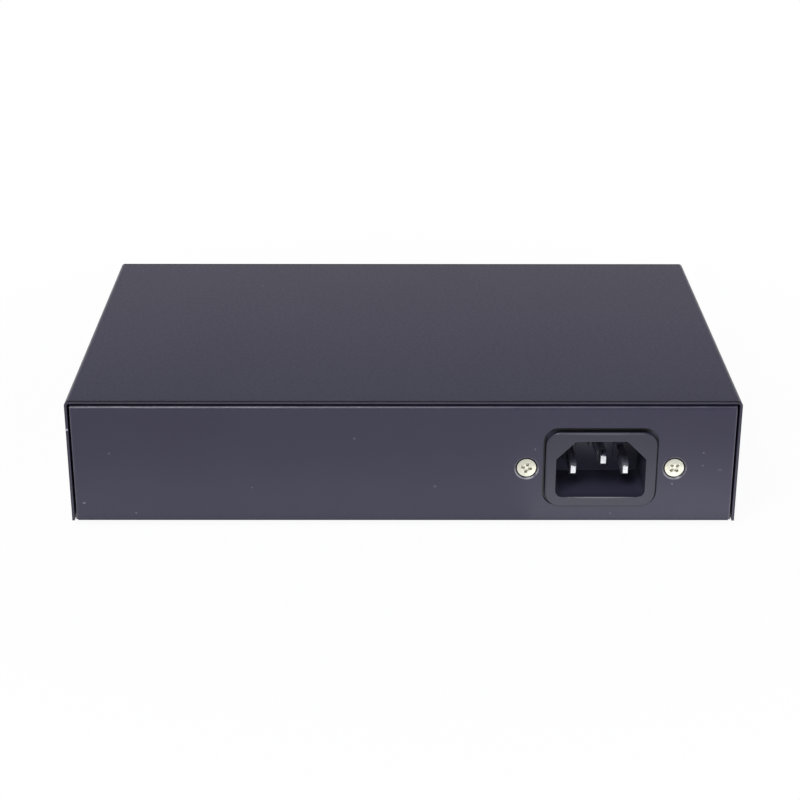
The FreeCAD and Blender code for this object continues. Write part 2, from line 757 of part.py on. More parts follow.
def inlet_housing():
    """The moulded inlet: shroud, screw ears behind the panel, body and cavity."""
    body = new_body("inlet_housing")
    ears = Rounded(f"{INLET_X} - Dim.ear_width / 2", f"{INLET_Z} - Dim.ear_height / 2",
                   f"{INLET_X} + Dim.ear_width / 2", f"{INLET_Z} + Dim.ear_height / 2", "Dim.ear_radius")
    ear_back = f"({END_INSIDE} - Dim.ear_thickness)"
    slab(body, "ears", "XZ_Plane", [ears], ear_back, END_INSIDE)
    shroud = Rounded(f"{INLET_X} - Dim.shroud_width / 2", f"{INLET_Z} - Dim.shroud_height / 2",
                     f"{INLET_X} + Dim.shroud_width / 2", f"{INLET_Z} + Dim.shroud_height / 2",
                     "Dim.shroud_radius")
    slab(body, "shroud", "XZ_Plane", [shroud], END_INSIDE, INLET_MOUTH)
    back = centred(INLET_X, INLET_Z, "Dim.inlet_body_width", "Dim.inlet_body_height")
    slab(body, "back_body", "XZ_Plane", [back], INLET_BACK, ear_back)
    left, right = f"({INLET_X} - Dim.cavity_width / 2)", f"({INLET_X} + Dim.cavity_width / 2)"
    low, high = f"({INLET_Z} - Dim.cavity_height / 2)", f"({INLET_Z} + Dim.cavity_height / 2)"
    cavity = [
        (left, low), (right, low), (right, f"{high} - Dim.cavity_chamfer"),
        (f"{right} - Dim.cavity_chamfer", high), (f"{left} + Dim.cavity_chamfer", high),
        (left, f"{high} - Dim.cavity_chamfer"),
    ]
    cavity_floor = f"({INLET_MOUTH} - Dim.cavity_depth)"
    hollow = slab(body, "cavity", "XZ_Plane", [cavity], cavity_floor, INLET_MOUTH, cut=True)
    lower = corner_edges(hollow, hollow.Profile[0], (0, 1))
    soften(body, "cavity_corners", "Fillet", hollow, lower, "Dim.cavity_radius")
    slots = [centred(x, z, "Dim.blade_thickness", "Dim.blade_height") for x, z, _ in blade_places()]
    slab(body, "blade_slots", "XZ_Plane", slots, INLET_BACK, cavity_floor, cut=True)
    for name, side in (("left_seat", "+"), ("right_seat", "-")):
        origin = (f"{INLET_X} {side} Dim.inlet_screw_pitch / 2", "0", INLET_Z)
        wide = f"({DIMPLE_BACK_RADIUS} + Dim.ear_seat_slack)"
        seat = [
            ("0", END_INSIDE), (wide, END_INSIDE),
            (HOLE_RADIUS, f"{END_INSIDE} - {wide} + {HOLE_RADIUS}"), (HOLE_RADIUS, ear_back), ("0", ear_back),
        ]
        turned(body, name, "V_Axis", [seat], origin, cut=True)


def blade_places():
    """Gives each blade's place and how far its tip lies behind the panel."""
    return (
        (f"({INLET_X} + Dim.blade_spread / 2)", LIVE_Z, "Dim.live_setback"),
        (f"({INLET_X} - Dim.blade_spread / 2)", LIVE_Z, "Dim.live_setback"),
        (INLET_X, EARTH_Z, "Dim.earth_setback"),
    )


def inlet_blade(label, x, z, setback):
    """One pin of the inlet: tapered blade in front, thin tab behind."""
    body = new_body(label)
    tip = f"({END} - {setback})"
    shoulder = f"({tip} - Dim.taper_length)"
    full = [centred(x, z, "Dim.blade_thickness", "Dim.blade_height")]
    slab(body, "blade", "XZ_Plane", full, INLET_BACK, shoulder)
    root = draw(body, "taper_root", "XZ_Plane", full, ("0", "0", f"-{shoulder}"))
    end = [centred(x, z, "Dim.tip_thickness", "Dim.tip_height")]
    point = draw(body, "taper_tip", "XZ_Plane", end, ("0", "0", f"-{tip}"))
    taper = body.newObject("PartDesign::AdditiveLoft", "taper")
    taper.Profile = root
    taper.Sections = [point]
    doc.recompute()
    tail = [centred(x, z, "Dim.tail_thickness", "Dim.tail_height")]
    slab(body, "tail", "XZ_Plane", tail, TAIL_END, INLET_BACK)


def inlet_screws():
    """Two countersunk screws through the panel and the inlet's ears."""
    body = new_body("inlet_screws")
    x = f"({INLET_X} - Dim.inlet_screw_pitch / 2)"
    profile = countersunk_screw(END, "Dim.inlet_screw_length")
    screw = turned(body, "screw", "V_Axis", [profile], (x, "0", INLET_Z))
    top = f"{END} - Dim.head_recess"
    recess = slab(body, "recess", "XZ_Plane", [cross(x, INLET_Z)], f"{top} - Dim.cross_depth", top, cut=True)
    repeated(body, "pair", [screw, recess], [("X_Axis", "Dim.inlet_screw_pitch", "2")])


def inlet_nuts():
    """The nuts behind the inlet's ears."""
    body = new_body("inlet_nuts")
    back = f"({END_INSIDE} - Dim.ear_thickness)"
    loops = []
    for side in "+-":
        x = f"({INLET_X} {side} Dim.inlet_screw_pitch / 2)"
        loops += [hexagon(x, INLET_Z, "Dim.nut_flats"), Disc(x, INLET_Z, "Dim.screw_diameter")]
    slab(body, "nuts", "XZ_Plane", loops, f"{back} - Dim.nut_thickness", back)


def blade_boots():
    """Insulating sleeves over the blades' tabs."""
    body = new_body("blade_boots")
    places = blade_places()
    sleeves = [centred(x, z, "Dim.boot_width", "Dim.boot_height") for x, z, _ in places]
    slab(body, "sleeves", "XZ_Plane", sleeves, BOOT_END, f"{TAIL_END} + Dim.boot_overlap")
    slots = [centred(x, z, "Dim.tail_thickness", "Dim.tail_height") for x, z, _ in places]
    slab(body, "slots", "XZ_Plane", slots, TAIL_END, f"{TAIL_END} + Dim.boot_overlap", cut=True)


def wire(label, corners):
    """A round wire along straight runs joined by arcs that touch them."""
    points = []
    for number, corner in enumerate(corners, start=1):
        vertex = doc.addObject("Part::Vertex", f"{label}_point_{number}")
        bind(vertex, dict(zip("XYZ", corner)))
        points.append(vertex)
    doc.recompute()
    route = [FreeCAD.Vector(point.X.Value, point.Y.Value, point.Z.Value) for point in points]
    radius = sheet.get("wire_diameter") / 2
    path = rounded_path(route, sheet.get("wire_bend"))
    start = (route[1] - route[0]).normalize()
    section = Part.Wire([Part.makeCircle(radius, route[0], start)])
    tube = Part.Wire(path).makePipeShell([section], True, True)
    node = doc.addObject("Part::Feature", label)
    node.Shape = tube if tube.isClosed() and tube.ShapeType == "Solid" else Part.makeSolid(tube)
    nodes.append(node)


def rounded_path(route, bend):
    """Edges along a route whose corners are arcs of one radius."""
    edges = []
    start = route[0]
    for before, corner, after in zip(route, route[1:], route[2:]):
        into, out = (corner - before).normalize(), (after - corner).normalize()
        middle = (out - into).normalize()
        enter, leave = corner - into * bend, corner + out * bend
        crown = corner + middle * bend * (2**0.5 - 1)
        edges += [Part.LineSegment(start, enter).toShape(), Part.Arc(enter, crown, leave).toShape()]
        start = leave
    return edges + [Part.LineSegment(start, route[-1]).toShape()]


def inlet_wires():
    """Line, neutral and earth wires behind the inlet."""
    (line_x, live_z, _), (neutral_x, _, _), (earth_x, earth_z, _) = blade_places()
    entry = f"({PSU_LEFT} + Dim.ac_socket_left + Dim.wire_insertion)"
    for label, x, side in (("line_wire", line_x, "+"), ("neutral_wire", neutral_x, "-")):
        y = f"({AC_SOCKET_Y} {side} Dim.wire_pitch)"
        wire(label, [(x, BOOT_END, live_z), (x, y, live_z), (entry, y, live_z)])
    barrel_end = f"({BARREL_START} + Dim.barrel_length)"
    wire("earth_wire", [
        (earth_x, BOOT_END, earth_z),
        (earth_x, EARTH_STUD_Y, earth_z),
        (earth_x, EARTH_STUD_Y, BARREL_Z),
        (barrel_end, EARTH_STUD_Y, BARREL_Z),
    ])


def earth_point():
    """Stud on the floor, with the wire's lug and a nut."""
    stud = doc.addObject("Part::Cylinder", "earth_stud")
    bind(stud, {"Radius": "Dim.earth_stud_diameter / 2", "Height": "Dim.earth_stud_length",
                "Placement.Base.x": EARTH_STUD_X, "Placement.Base.y": EARTH_STUD_Y,
                "Placement.Base.z": FLOOR})
    nodes.append(stud)
    lug = new_body("earth_lug")
    top = f"{FLOOR} + Dim.lug_thickness"
    slab(lug, "ring", "XY_Plane", [Disc(EARTH_STUD_X, EARTH_STUD_Y, "Dim.lug_diameter")], FLOOR, top)
    strip = rectangle(EARTH_STUD_X, f"{EARTH_STUD_Y} - Dim.barrel_diameter / 2", BARREL_START,
                      f"{EARTH_STUD_Y} + Dim.barrel_diameter / 2")
    slab(lug, "strip", "XY_Plane", [strip], FLOOR, top)
    barrel = Disc(EARTH_STUD_Y, BARREL_Z, "Dim.barrel_diameter")
    barrel_end = f"{BARREL_START} + Dim.barrel_length"
    slab(lug, "barrel", "YZ_Plane", [barrel], f"{BARREL_START} - Dim.lug_thickness", barrel_end)
    hole = Disc(EARTH_STUD_X, EARTH_STUD_Y, "Dim.earth_stud_diameter + Dim.lug_hole_slack")
    slab(lug, "stud_hole", "XY_Plane", [hole], FLOOR, top, cut=True)
    nut = new_body("earth_nut")
    loops = [
        hexagon(EARTH_STUD_X, EARTH_STUD_Y, "Dim.earth_nut_flats"),
        Disc(EARTH_STUD_X, EARTH_STUD_Y, "Dim.earth_stud_diameter + Dim.thread_slack"),
    ]
    slab(nut, "nut", "XY_Plane", loops, top, f"{top} + Dim.earth_nut_thickness")


def main_holes():
    """Places of the main board's screws."""
    x = f"({BOARD_SIDE} - Dim.main_hole_side)"
    rows = (f"({MAIN_FRONT} + Dim.main_hole_front)", f"({MAIN_REAR} - Dim.main_hole_rear)")
    return [(side, y) for side in (x, f"-{x}") for y in rows]


def psu_holes():
    """Places of the power supply board's screws."""
    columns = (f"({PSU_LEFT} + Dim.psu_hole_left)", f"({BOARD_SIDE} - Dim.psu_hole_right)")
    rows = (f"({PSU_FRONT} + Dim.psu_hole_end)", f"({PSU_REAR} - Dim.psu_hole_end)")
    return [(x, y) for x in columns for y in rows]


def board(label, left, front, rear, holes):
    """A drilled circuit board."""
    body = new_body(label)
    slab(body, "laminate", "XY_Plane", [rectangle(left, front, BOARD_SIDE, rear)], BOARD_UNDER, BOARD_TOP)
    drilled = [Disc(x, y, "Dim.screw_diameter + Dim.board_hole_slack") for x, y in holes]
    slab(body, "holes", "XY_Plane", drilled, BOARD_UNDER, BOARD_TOP, cut=True)


def board_fixings():
    """Standoffs pressed into the floor, screws for both boards and the insulating sheet."""
    places = main_holes() + psu_holes()
    standoffs = new_body("board_standoffs")
    rings = []
    for x, y in places:
        rings += [Disc(x, y, "Dim.standoff_diameter"), Disc(x, y, "Dim.screw_diameter")]
    slab(standoffs, "posts", "XY_Plane", rings, FLOOR, BOARD_UNDER)
    screws = new_body("board_screws")
    heads = [Disc(x, y, "Dim.board_screw_head") for x, y in places]
    top = f"({BOARD_TOP} + Dim.board_screw_head_height)"
    slab(screws, "heads", "XY_Plane", heads, BOARD_TOP, top)
    shanks = [Disc(x, y, f"2 * {SHANK_RADIUS}") for x, y in places]
    slab(screws, "shanks", "XY_Plane", shanks, f"{BOARD_TOP} - Dim.board_screw_length", BOARD_TOP)
    recesses = [cross(x, y) for x, y in places]
    slab(screws, "recesses", "XY_Plane", recesses, f"{top} - Dim.cross_depth", top, cut=True)
    insulator = new_body("insulating_sheet")
    margin = "Dim.insulator_margin"
    outline = rectangle(f"{PSU_LEFT} - {margin}", f"{PSU_FRONT} - {margin}",
                        f"{BOARD_SIDE} + {margin}", f"{PSU_REAR} + {margin}")
    holes = [Disc(x, y, "Dim.standoff_diameter + Dim.insulator_hole_slack") for x, y in psu_holes()]
    slab(insulator, "film", "XY_Plane", [outline] + holes, FLOOR, f"{FLOOR} + Dim.insulator_thickness")


def port_outline(x):
    """Outline of a plug opening with its latch steps at the bottom."""
    floor = f"({BOARD_TOP} + Dim.port_floor)"
    wide, latch, notch = "Dim.port_width / 2", "Dim.latch_width / 2", "Dim.notch_width / 2"
    step, foot = f"({floor} - Dim.latch_height)", f"({floor} - Dim.latch_height - Dim.notch_height)"
    half = [(wide, PORT_CEILING), (wide, floor), (latch, floor), (latch, step), (notch, step), (notch, foot)]
    right = [(f"{x} + {across}", up) for across, up in half]
    return right + [(f"{x} - {across}", up) for across, up in reversed(half)]


def window_outline(x, side):
    """Outline of one of a port's two lamp windows."""
    middle = f"{x} {side} Dim.window_offset"
    low = f"({PORT_CEILING} + Dim.window_rise)"
    return rectangle(f"{middle} - Dim.window_width / 2", low, f"{middle} + Dim.window_width / 2",
                     f"{low} + Dim.window_height")


def jack_group(name, count, left):
    """One moulded row of sockets with its tin shield and contacts."""
    skin = "Dim.shield_thickness"
    right = group_right(left, count)
    row = [("X_Axis", "Dim.jack_pitch", str(count))]
    first = port_x(left, 0)
    windows = [window_outline(first, "-"), window_outline(first, "+")]
    inside = f"({JACK_FRONT} + {skin})"
    housing = new_body(f"{name}_housing")
    front = rectangle(f"{left} + {skin}", BOARD_TOP, f"{right} - {skin}", f"{JACK_TOP} - {skin}")
    slab(housing, "moulding", "XZ_Plane", [front], inside, f"{JACK_BACK} - {skin}")
    port_end, window_end = f"{JACK_FRONT} + Dim.port_depth", f"{JACK_FRONT} + Dim.window_length"
    port = slab(housing, "port", "XZ_Plane", [port_outline(first)], inside, port_end, cut=True)
    lamps = slab(housing, "windows", "XZ_Plane", windows, inside, window_end, cut=True)
    repeated(housing, "ports", [port, lamps], row)
    shield = new_body(f"{name}_shield")
    slab(shield, "shell", "XZ_Plane", [rectangle(left, BOARD_TOP, right, JACK_TOP)], JACK_FRONT, JACK_BACK)
    hollow = rectangle(f"{left} + {skin}", inside, f"{right} - {skin}", f"{JACK_BACK} - {skin}")
    slab(shield, "hollow", "XY_Plane", [hollow], BOARD_TOP, f"{JACK_TOP} - {skin}", cut=True)
    mouth_loops = [port_outline(first)] + windows
    mouth = slab(shield, "mouth", "XZ_Plane", mouth_loops, JACK_FRONT, inside, cut=True)
    repeated(shield, "mouths", [mouth], row)
    contacts = new_body(f"{name}_contacts")
    start = f"({JACK_FRONT} + Dim.contact_setback)"
    bend, end = f"({start} + Dim.contact_flat)", f"({start} + Dim.contact_flat + Dim.contact_reach)"
    thick = "Dim.contact_thickness"
    strip = [
        (start, PORT_CEILING), (start, f"{PORT_CEILING} - {thick}"), (bend, f"{PORT_CEILING} - {thick}"),
        (end, f"{PORT_CEILING} - {thick} - Dim.contact_drop"), (end, f"{PORT_CEILING} - Dim.contact_drop"),
        (bend, PORT_CEILING),
    ]
    edge = f"({first} - {(CONTACTS_PER_PORT - 1) / 2} * Dim.contact_pitch - Dim.contact_width / 2)"
    contact = slab(contacts, "contact", "YZ_Plane", [strip], edge, f"{edge} + Dim.contact_width")
    repeated(contacts, "rows", [contact], [("X_Axis", "Dim.contact_pitch", str(CONTACTS_PER_PORT))] + row)


def port_lamps(label, side):
    """The windows of one colour, one per port."""
    body = new_body(label)
    loops = [window_outline(x, side) for x in all_ports()]
    slab(body, "windows", "XZ_Plane", loops, JACK_FRONT, f"{JACK_FRONT} + Dim.window_length")


def lamp_middle():
    """Middle of the lamp block, beside the last group of sockets."""
    _, count, left = list(group_places())[-1]
    return f"({group_right(left, count)} + Dim.lamp_gap + Dim.lamp_block_width / 2)"


def lamp_places():
    """Places of the two status lamps on the front panel."""
    height = f"({BOARD_TOP} + Dim.lamp_height)"
    return [(f"({lamp_middle()} {side} Dim.lamp_spacing / 2)", height) for side in "-+"]


def status_lamps():
    """Two round lamps and the block that holds them on the board."""
    lamps = new_body("status_lamps")
    tip = f"(-{END} - Dim.lamp_proud)"
    discs = [Disc(x, z, "Dim.lamp_diameter") for x, z in lamp_places()]
    slab(lamps, "lenses", "XZ_Plane", discs, tip, f"{tip} + Dim.lamp_length")
    holder = new_body("status_lamp_holder")
    middle, half = lamp_middle(), "Dim.lamp_block_width / 2"
    back = f"({tip} + Dim.lamp_length)"
    outline = rectangle(f"{middle} - {half}", BOARD_TOP, f"{middle} + {half}",
                        f"{BOARD_TOP} + Dim.lamp_block_height")
    slab(holder, "block", "XZ_Plane", [outline] + discs, f"{back} - Dim.lamp_block_depth", back)


def can(body, name, x, y, diameter, height):
    """A round capacitor with its crimped groove and rounded top, standing on a board."""
    radius = f"{diameter} / 2"
    low = f"({BOARD_TOP} + Dim.can_crimp_height)"
    barrel, top = f"{low} + 2 * Dim.can_crimp", f"{BOARD_TOP} + {height}"
    stages = (
        ("foot", radius, BOARD_TOP, low),
        ("neck", f"({radius} - Dim.can_crimp)", low, barrel),
        ("barrel", radius, barrel, f"{top} - Dim.can_edge"),
        ("crown", f"({radius} - Dim.can_edge)", f"{top} - Dim.can_edge", top),
    )
    for stage, reach, start, end in stages:
        slab(body, f"{name}_{stage}", "XY_Plane", [Disc(x, y, f"2 * {reach}")], start, end)


def magnetic_places():
    """Middles of the pairs of ports, where the isolating transformers lie."""
    return [
        f"(({port_x(left, port)} + {port_x(left, port + 1)}) / 2)"
        for _, count, left in group_places()
        for port in range(0, count, 2)
    ]


def main_board_parts():
    """What the main board carries behind its sockets."""
    corners = [(f"{x} - Dim.magnetic_width / 2", MAGNETIC_FRONT, BOARD_TOP) for x in magnetic_places()]
    blocks("lan_transformers", corners, ("Dim.magnetic_width", "Dim.magnetic_depth", "Dim.magnetic_height"))
    side = "Dim.controller_side"
    lefts = [f"Dim.controller_x + {step} * Dim.controller_pitch" for step in range(2)]
    corners = [(left, PART_ROW, BOARD_TOP) for left in lefts]
    blocks("poe_controllers", corners, (side, side, "Dim.controller_height"))
    crystal = new_body("crystal")
    crystal_can = Rounded(
        "Dim.crystal_x - Dim.crystal_length / 2", PART_ROW, "Dim.crystal_x + Dim.crystal_length / 2",
        f"{PART_ROW} + Dim.crystal_width", "(Dim.crystal_width / 2 - Dim.can_edge)",
    )
    slab(crystal, "can", "XY_Plane", [crystal_can], BOARD_TOP, f"{BOARD_TOP} + Dim.crystal_height")
    cans = new_body("board_capacitors")
    for number in range(3):
        x = f"({BOARD_SIDE} - Dim.small_can_right + {number} * Dim.small_can_pitch)"
        y = f"({PART_ROW} + Dim.small_can_diameter / 2)"
        can(cans, f"can_{number + 1}", x, y, "Dim.small_can_diameter", "Dim.small_can_height")
    inductor = new_body("power_inductor")
    outline = Rounded("Dim.inductor_x", PART_ROW, "Dim.inductor_x + Dim.inductor_side",
                      f"{PART_ROW} + Dim.inductor_side", "Dim.inductor_corner")
    slab(inductor, "block", "XY_Plane", [outline], BOARD_TOP, f"{BOARD_TOP} + Dim.inductor_height")


def switch_chip():
    """The switch chip and the finned heatsink on it."""
    side, left = "Dim.chip_side", "(Dim.chip_x - Dim.chip_side / 2)"
    nodes.append(block("switch_chip", (left, PART_ROW, BOARD_TOP), (side, side, "Dim.chip_height")))
    sink = new_body("switch_heatsink")
    seat = f"({BOARD_TOP} + Dim.chip_height)"
    root = f"({seat} + Dim.fin_base)"
    rear = f"{PART_ROW} + {side}"
    slab(sink, "plate", "XY_Plane", [rectangle(left, PART_ROW, f"{left} + {side}", rear)], seat, root)
    outline = rectangle(left, PART_ROW, f"{left} + Dim.fin_thickness", rear)
    fin = slab(sink, "fin", "XY_Plane", [outline], root, f"{root} + Dim.fin_height")
    pitch = "((Dim.chip_side - Dim.fin_thickness) / (Dim.fin_count - 1))"
    repeated(sink, "fins", [fin], [("X_Axis", pitch, "Dim.fin_count")])


def dc_link():
    """Sockets on both boards and the two wires between them."""
    sockets = new_body("dc_sockets")
    x = f"({BOARD_SIDE} - Dim.dc_socket_right)"
    top, half = f"({BOARD_TOP} + Dim.dc_socket_height)", "Dim.dc_socket_width / 2"
    rows = (f"({MAIN_REAR} - Dim.dc_socket_gap - {half})", f"({PSU_FRONT} + Dim.dc_socket_gap + {half})")
    outlines = [centred(x, y, "Dim.dc_socket_length", "Dim.dc_socket_width") for y in rows]
    slab(sockets, "blocks", "XY_Plane", outlines, BOARD_TOP, top)
    columns = (f"({x} + Dim.wire_pitch / 2)", f"({x} - Dim.wire_pitch / 2)")
    bores = [Disc(column, y, "Dim.wire_diameter + Dim.wire_hole_slack") for column in columns for y in rows]
    slab(sockets, "bores", "XY_Plane", bores, f"{top} - Dim.wire_insertion", top, cut=True)
    for label, column in zip(("dc_positive_wire", "dc_negative_wire"), columns):
        start, arch = f"{top} - Dim.wire_insertion", f"{top} + Dim.dc_arch"
        rise, fall = ((column, y) for y in rows)
        wire(label, [(*rise, start), (*rise, arch), (*fall, arch), (*fall, start)])


def psu_mains_side():
    """Mains socket, fuse, filter, rectifier and reservoir capacitor."""
    socket = new_body("ac_socket")
    left = f"({PSU_LEFT} + Dim.ac_socket_left)"
    outline = rectangle(left, f"{AC_SOCKET_Y} - Dim.ac_socket_width / 2", f"{left} + Dim.ac_socket_length",
                        f"{AC_SOCKET_Y} + Dim.ac_socket_width / 2")
    slab(socket, "block", "XY_Plane", [outline], BOARD_TOP, f"{BOARD_TOP} + Dim.ac_socket_height")
    bores = [
        Disc(f"{AC_SOCKET_Y} {side} Dim.wire_pitch", LIVE_Z, "Dim.wire_diameter + Dim.wire_hole_slack")
        for side in "+-"
    ]
    slab(socket, "bores", "YZ_Plane", bores, left, f"{left} + Dim.wire_insertion", cut=True)
    fuse_left = f"({PSU_LEFT} + Dim.fuse_left)"
    fuse_y, fuse_z = f"({PSU_FRONT} + Dim.fuse_front)", f"({BOARD_TOP} + Dim.fuse_lift)"
    fuse = new_body("line_fuse")
    glass = Disc(fuse_y, fuse_z, "Dim.fuse_diameter")
    cap = Disc(fuse_y, fuse_z, "Dim.fuse_diameter + 2 * Dim.fuse_cap_step")
    slab(fuse, "glass", "YZ_Plane", [glass], fuse_left, f"{fuse_left} + Dim.fuse_length")
    fuse_right = f"({fuse_left} + Dim.fuse_length)"
    slab(fuse, "left_cap", "YZ_Plane", [cap], fuse_left, f"{fuse_left} + Dim.fuse_cap_length")
    slab(fuse, "right_cap", "YZ_Plane", [cap], f"{fuse_right} - Dim.fuse_cap_length", fuse_right)
    clips = new_body("fuse_clips")
    ring = [
        rectangle(f"{fuse_y} - Dim.clip_width / 2", BOARD_TOP, f"{fuse_y} + Dim.clip_width / 2",
                  f"{BOARD_TOP} + Dim.clip_height"),
        Disc(fuse_y, fuse_z, "Dim.fuse_diameter + 2 * Dim.fuse_cap_step + 2 * Dim.clip_slack"),
    ]
    starts = (f"{fuse_left} + Dim.clip_inset", f"{fuse_right} - Dim.clip_inset - Dim.clip_length")
    for name, start in zip(("left_clip", "right_clip"), starts):
        slab(clips, name, "YZ_Plane", ring, start, f"{start} + Dim.clip_length")
    corner = (f"{PSU_LEFT} + Dim.filter_can_left", f"{PSU_FRONT} + Dim.filter_can_front", BOARD_TOP)
    size = ("Dim.filter_can_length", "Dim.filter_can_width", "Dim.filter_can_height")
    nodes.append(block("filter_capacitor", corner, size))
    choke()
    bridge = new_body("bridge_rectifier")
    bridge_left, bridge_front = f"({PSU_LEFT} + Dim.bridge_left)", f"({PSU_FRONT} + Dim.bridge_front)"
    bridge_right, bridge_top = f"({bridge_left} + Dim.bridge_length)", f"({BOARD_TOP} + Dim.bridge_height)"
    face = [
        (bridge_left, BOARD_TOP), (bridge_right, BOARD_TOP), (bridge_right, bridge_top),
        (f"{bridge_left} + Dim.bridge_notch", bridge_top), (bridge_left, f"{bridge_top} - Dim.bridge_notch"),
    ]
    slab(bridge, "block", "XZ_Plane", [face], bridge_front, f"{bridge_front} + Dim.bridge_width")
    bulk = new_body("bulk_capacitor")
    can(bulk, "can", f"({PSU_LEFT} + Dim.bulk_can_left)", f"({PSU_FRONT} + Dim.bulk_can_front)",
        "Dim.bulk_can_diameter", "Dim.bulk_can_height")


def choke():
    """The filter's ring core inside its winding."""
    wrap = "Dim.choke_winding"
    outer, inner, half = "Dim.choke_diameter / 2", "Dim.choke_bore / 2", "Dim.choke_width / 2"
    middle = f"{BOARD_TOP} + {outer} + {wrap}"
    origin = (f"{PSU_LEFT} + Dim.choke_left", f"{PSU_FRONT} + Dim.choke_front", middle)
    section = rectangle(inner, f"-{half}", outer, half)
    core = new_body("choke_core")
    turned(core, "ring", "V_Axis", [section], origin)
    winding = new_body("choke_winding")
    sleeve = rectangle(f"{inner} - {wrap}", f"-{half} - {wrap}", f"{outer} + {wrap}", f"{half} + {wrap}")
    turned(winding, "sleeve", "V_Axis", [sleeve, section], origin, sweep="Dim.choke_sweep")


def primary_heatsink(left):
    """A finned plate for the switching transistor; gives the face that the transistor lies on."""
    body = new_body("primary_heatsink")
    front = f"({PSU_FRONT} + Dim.sink_front)"
    root, right = f"({left} + Dim.sink_fin)", f"({left} + Dim.sink_fin + Dim.sink_plate)"
    top = f"{BOARD_TOP} + Dim.sink_height"
    plate = rectangle(root, front, right, f"{front} + Dim.sink_length")
    slab(body, "plate", "XY_Plane", [plate], BOARD_TOP, top)
    outline = rectangle(left, front, root, f"{front} + Dim.sink_fin_thickness")
    fin = slab(body, "fin", "XY_Plane", [outline], BOARD_TOP, top)
    pitch = "((Dim.sink_length - Dim.sink_fin_thickness) / (Dim.sink_fin_count - 1))"
    repeated(body, "fins", [fin], [("Y_Axis", pitch, "Dim.sink_fin_count")])
    return right


def power_switch(label, left):
    """A power semiconductor whose thin tab rises above its block, flat against a heatsink."""
    body = new_body(label)
    right, thin = f"({left} + Dim.switch_thickness)", f"({left} + Dim.switch_tab_thickness)"
    top = f"({BOARD_TOP} + Dim.switch_height)"
    block_top = f"({top} - Dim.switch_tab_height)"
    face = [
        (left, BOARD_TOP), (right, BOARD_TOP), (right, block_top),
        (thin, block_top), (thin, top), (left, top),
    ]
    front = f"({PSU_FRONT} + Dim.switch_front)"
    slab(body, "block", "XZ_Plane", [face], front, f"{front} + Dim.switch_width")
    return right


def transformer(left):
    """The transformer's framed core round its winding; gives the core's right face."""
    y = f"({PSU_FRONT} + Dim.transformer_front)"
    x, right = f"({left} + Dim.core_width / 2)", f"({left} + Dim.core_width)"
    half_leg = "Dim.core_leg / 2"
    top = f"({BOARD_TOP} + Dim.core_height)"
    low, high = f"({BOARD_TOP} + Dim.core_yoke)", f"({top} - Dim.core_yoke)"
    core = new_body("transformer_core")
    loops = [
        rectangle(left, BOARD_TOP, right, top),
        rectangle(f"{x} + {half_leg}", low, f"{right} - Dim.core_yoke", high),
        rectangle(f"{left} + Dim.core_yoke", low, f"{x} - {half_leg}", high),
    ]
    slab(core, "frame", "XZ_Plane", loops, f"{y} - Dim.core_depth / 2", f"{y} + Dim.core_depth / 2")
    coil = new_body("transformer_winding")
    slack = "Dim.coil_slack"
    width = f"(Dim.core_width - 2 * Dim.core_yoke - 2 * {slack})"
    loops = [
        centred(x, y, width, "(Dim.core_depth + 2 * Dim.coil_bulge)"),
        centred(x, y, "Dim.core_leg", "Dim.core_depth"),
    ]
    slab(coil, "turns", "XY_Plane", loops, f"{low} + {slack}", f"{high} - {slack}")
    return right


def psu_output_side():
    """Switching transistor, transformer, output rectifier and output capacitors, from left to right."""
    face = primary_heatsink(f"({PSU_LEFT} + Dim.primary_sink_left)")
    transistor_right = power_switch("primary_transistor", face)
    core_right = transformer(f"({transistor_right} + Dim.psu_part_gap)")
    plate_left = f"({core_right} + Dim.psu_part_gap)"
    corner = (plate_left, f"{PSU_FRONT} + Dim.sink_front", BOARD_TOP)
    nodes.append(block("output_heatsink", corner, ("Dim.sink_plate", "Dim.sink_length", "Dim.sink_height")))
    power_switch("output_rectifier", f"({plate_left} + Dim.sink_plate)")
    cans = new_body("output_capacitors")
    for number in range(3):
        x = f"({BOARD_SIDE} - Dim.output_can_right)"
        y = f"({PSU_FRONT} + Dim.output_can_front + {number} * Dim.output_can_pitch)"
        can(cans, f"can_{number + 1}", x, y, "Dim.output_can_diameter", "Dim.output_can_height")


def build():
    """Builds every sub-part, from the case inwards."""
    chassis_base()
    top_cover()
    cover_screws()
    rubber_feet()
    inlet_housing()
    for label, place in zip(("inlet_line_blade", "inlet_neutral_blade", "inlet_earth_blade"), blade_places()):
        inlet_blade(label, *place)
    inlet_screws()
    inlet_nuts()
    blade_boots()
    inlet_wires()
    earth_point()
    board("main_board", f"-{BOARD_SIDE}", MAIN_FRONT, MAIN_REAR, main_holes())
    board("psu_board", PSU_LEFT, PSU_FRONT, PSU_REAR, psu_holes())
    board_fixings()
    for name, count, left in group_places():
        jack_group(name, count, left)
    port_lamps("port_lamps_green", "-")
    port_lamps("port_lamps_amber", "+")
    status_lamps()
    main_board_parts()
    switch_chip()
    dc_link()
    psu_mains_side()
    psu_output_side()


def write_steps():
    """Checks every object of the document, then writes each sub-part to its file."""
    doc.recompute()
    for item in doc.Objects:
        if "Invalid" in item.State or "Error" in item.State:
            raise ValueError(f"{item.Label} did not build: {item.State}")
    os.makedirs("parts", exist_ok=True)
    for node in nodes:
        if node.Shape.isNull() or not node.Shape.isValid():
            raise ValueError(f"{node.Label} has no valid shape")
        node.Shape.exportStep(f"parts/{node.Label}.step")
    print(len(nodes), "sub-parts written")


build()
write_steps()
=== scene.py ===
"""Looks of a desktop PoE switch: folded steel case, mains inlet, sockets, lamps, feet and boards.

Metres, +Z up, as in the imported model. The network sockets face -Y and the mains inlet faces +Y.
"""

import json
import logging
import math
from dataclasses import dataclass
from enum import Enum
from typing import Callable, Iterable, Sequence

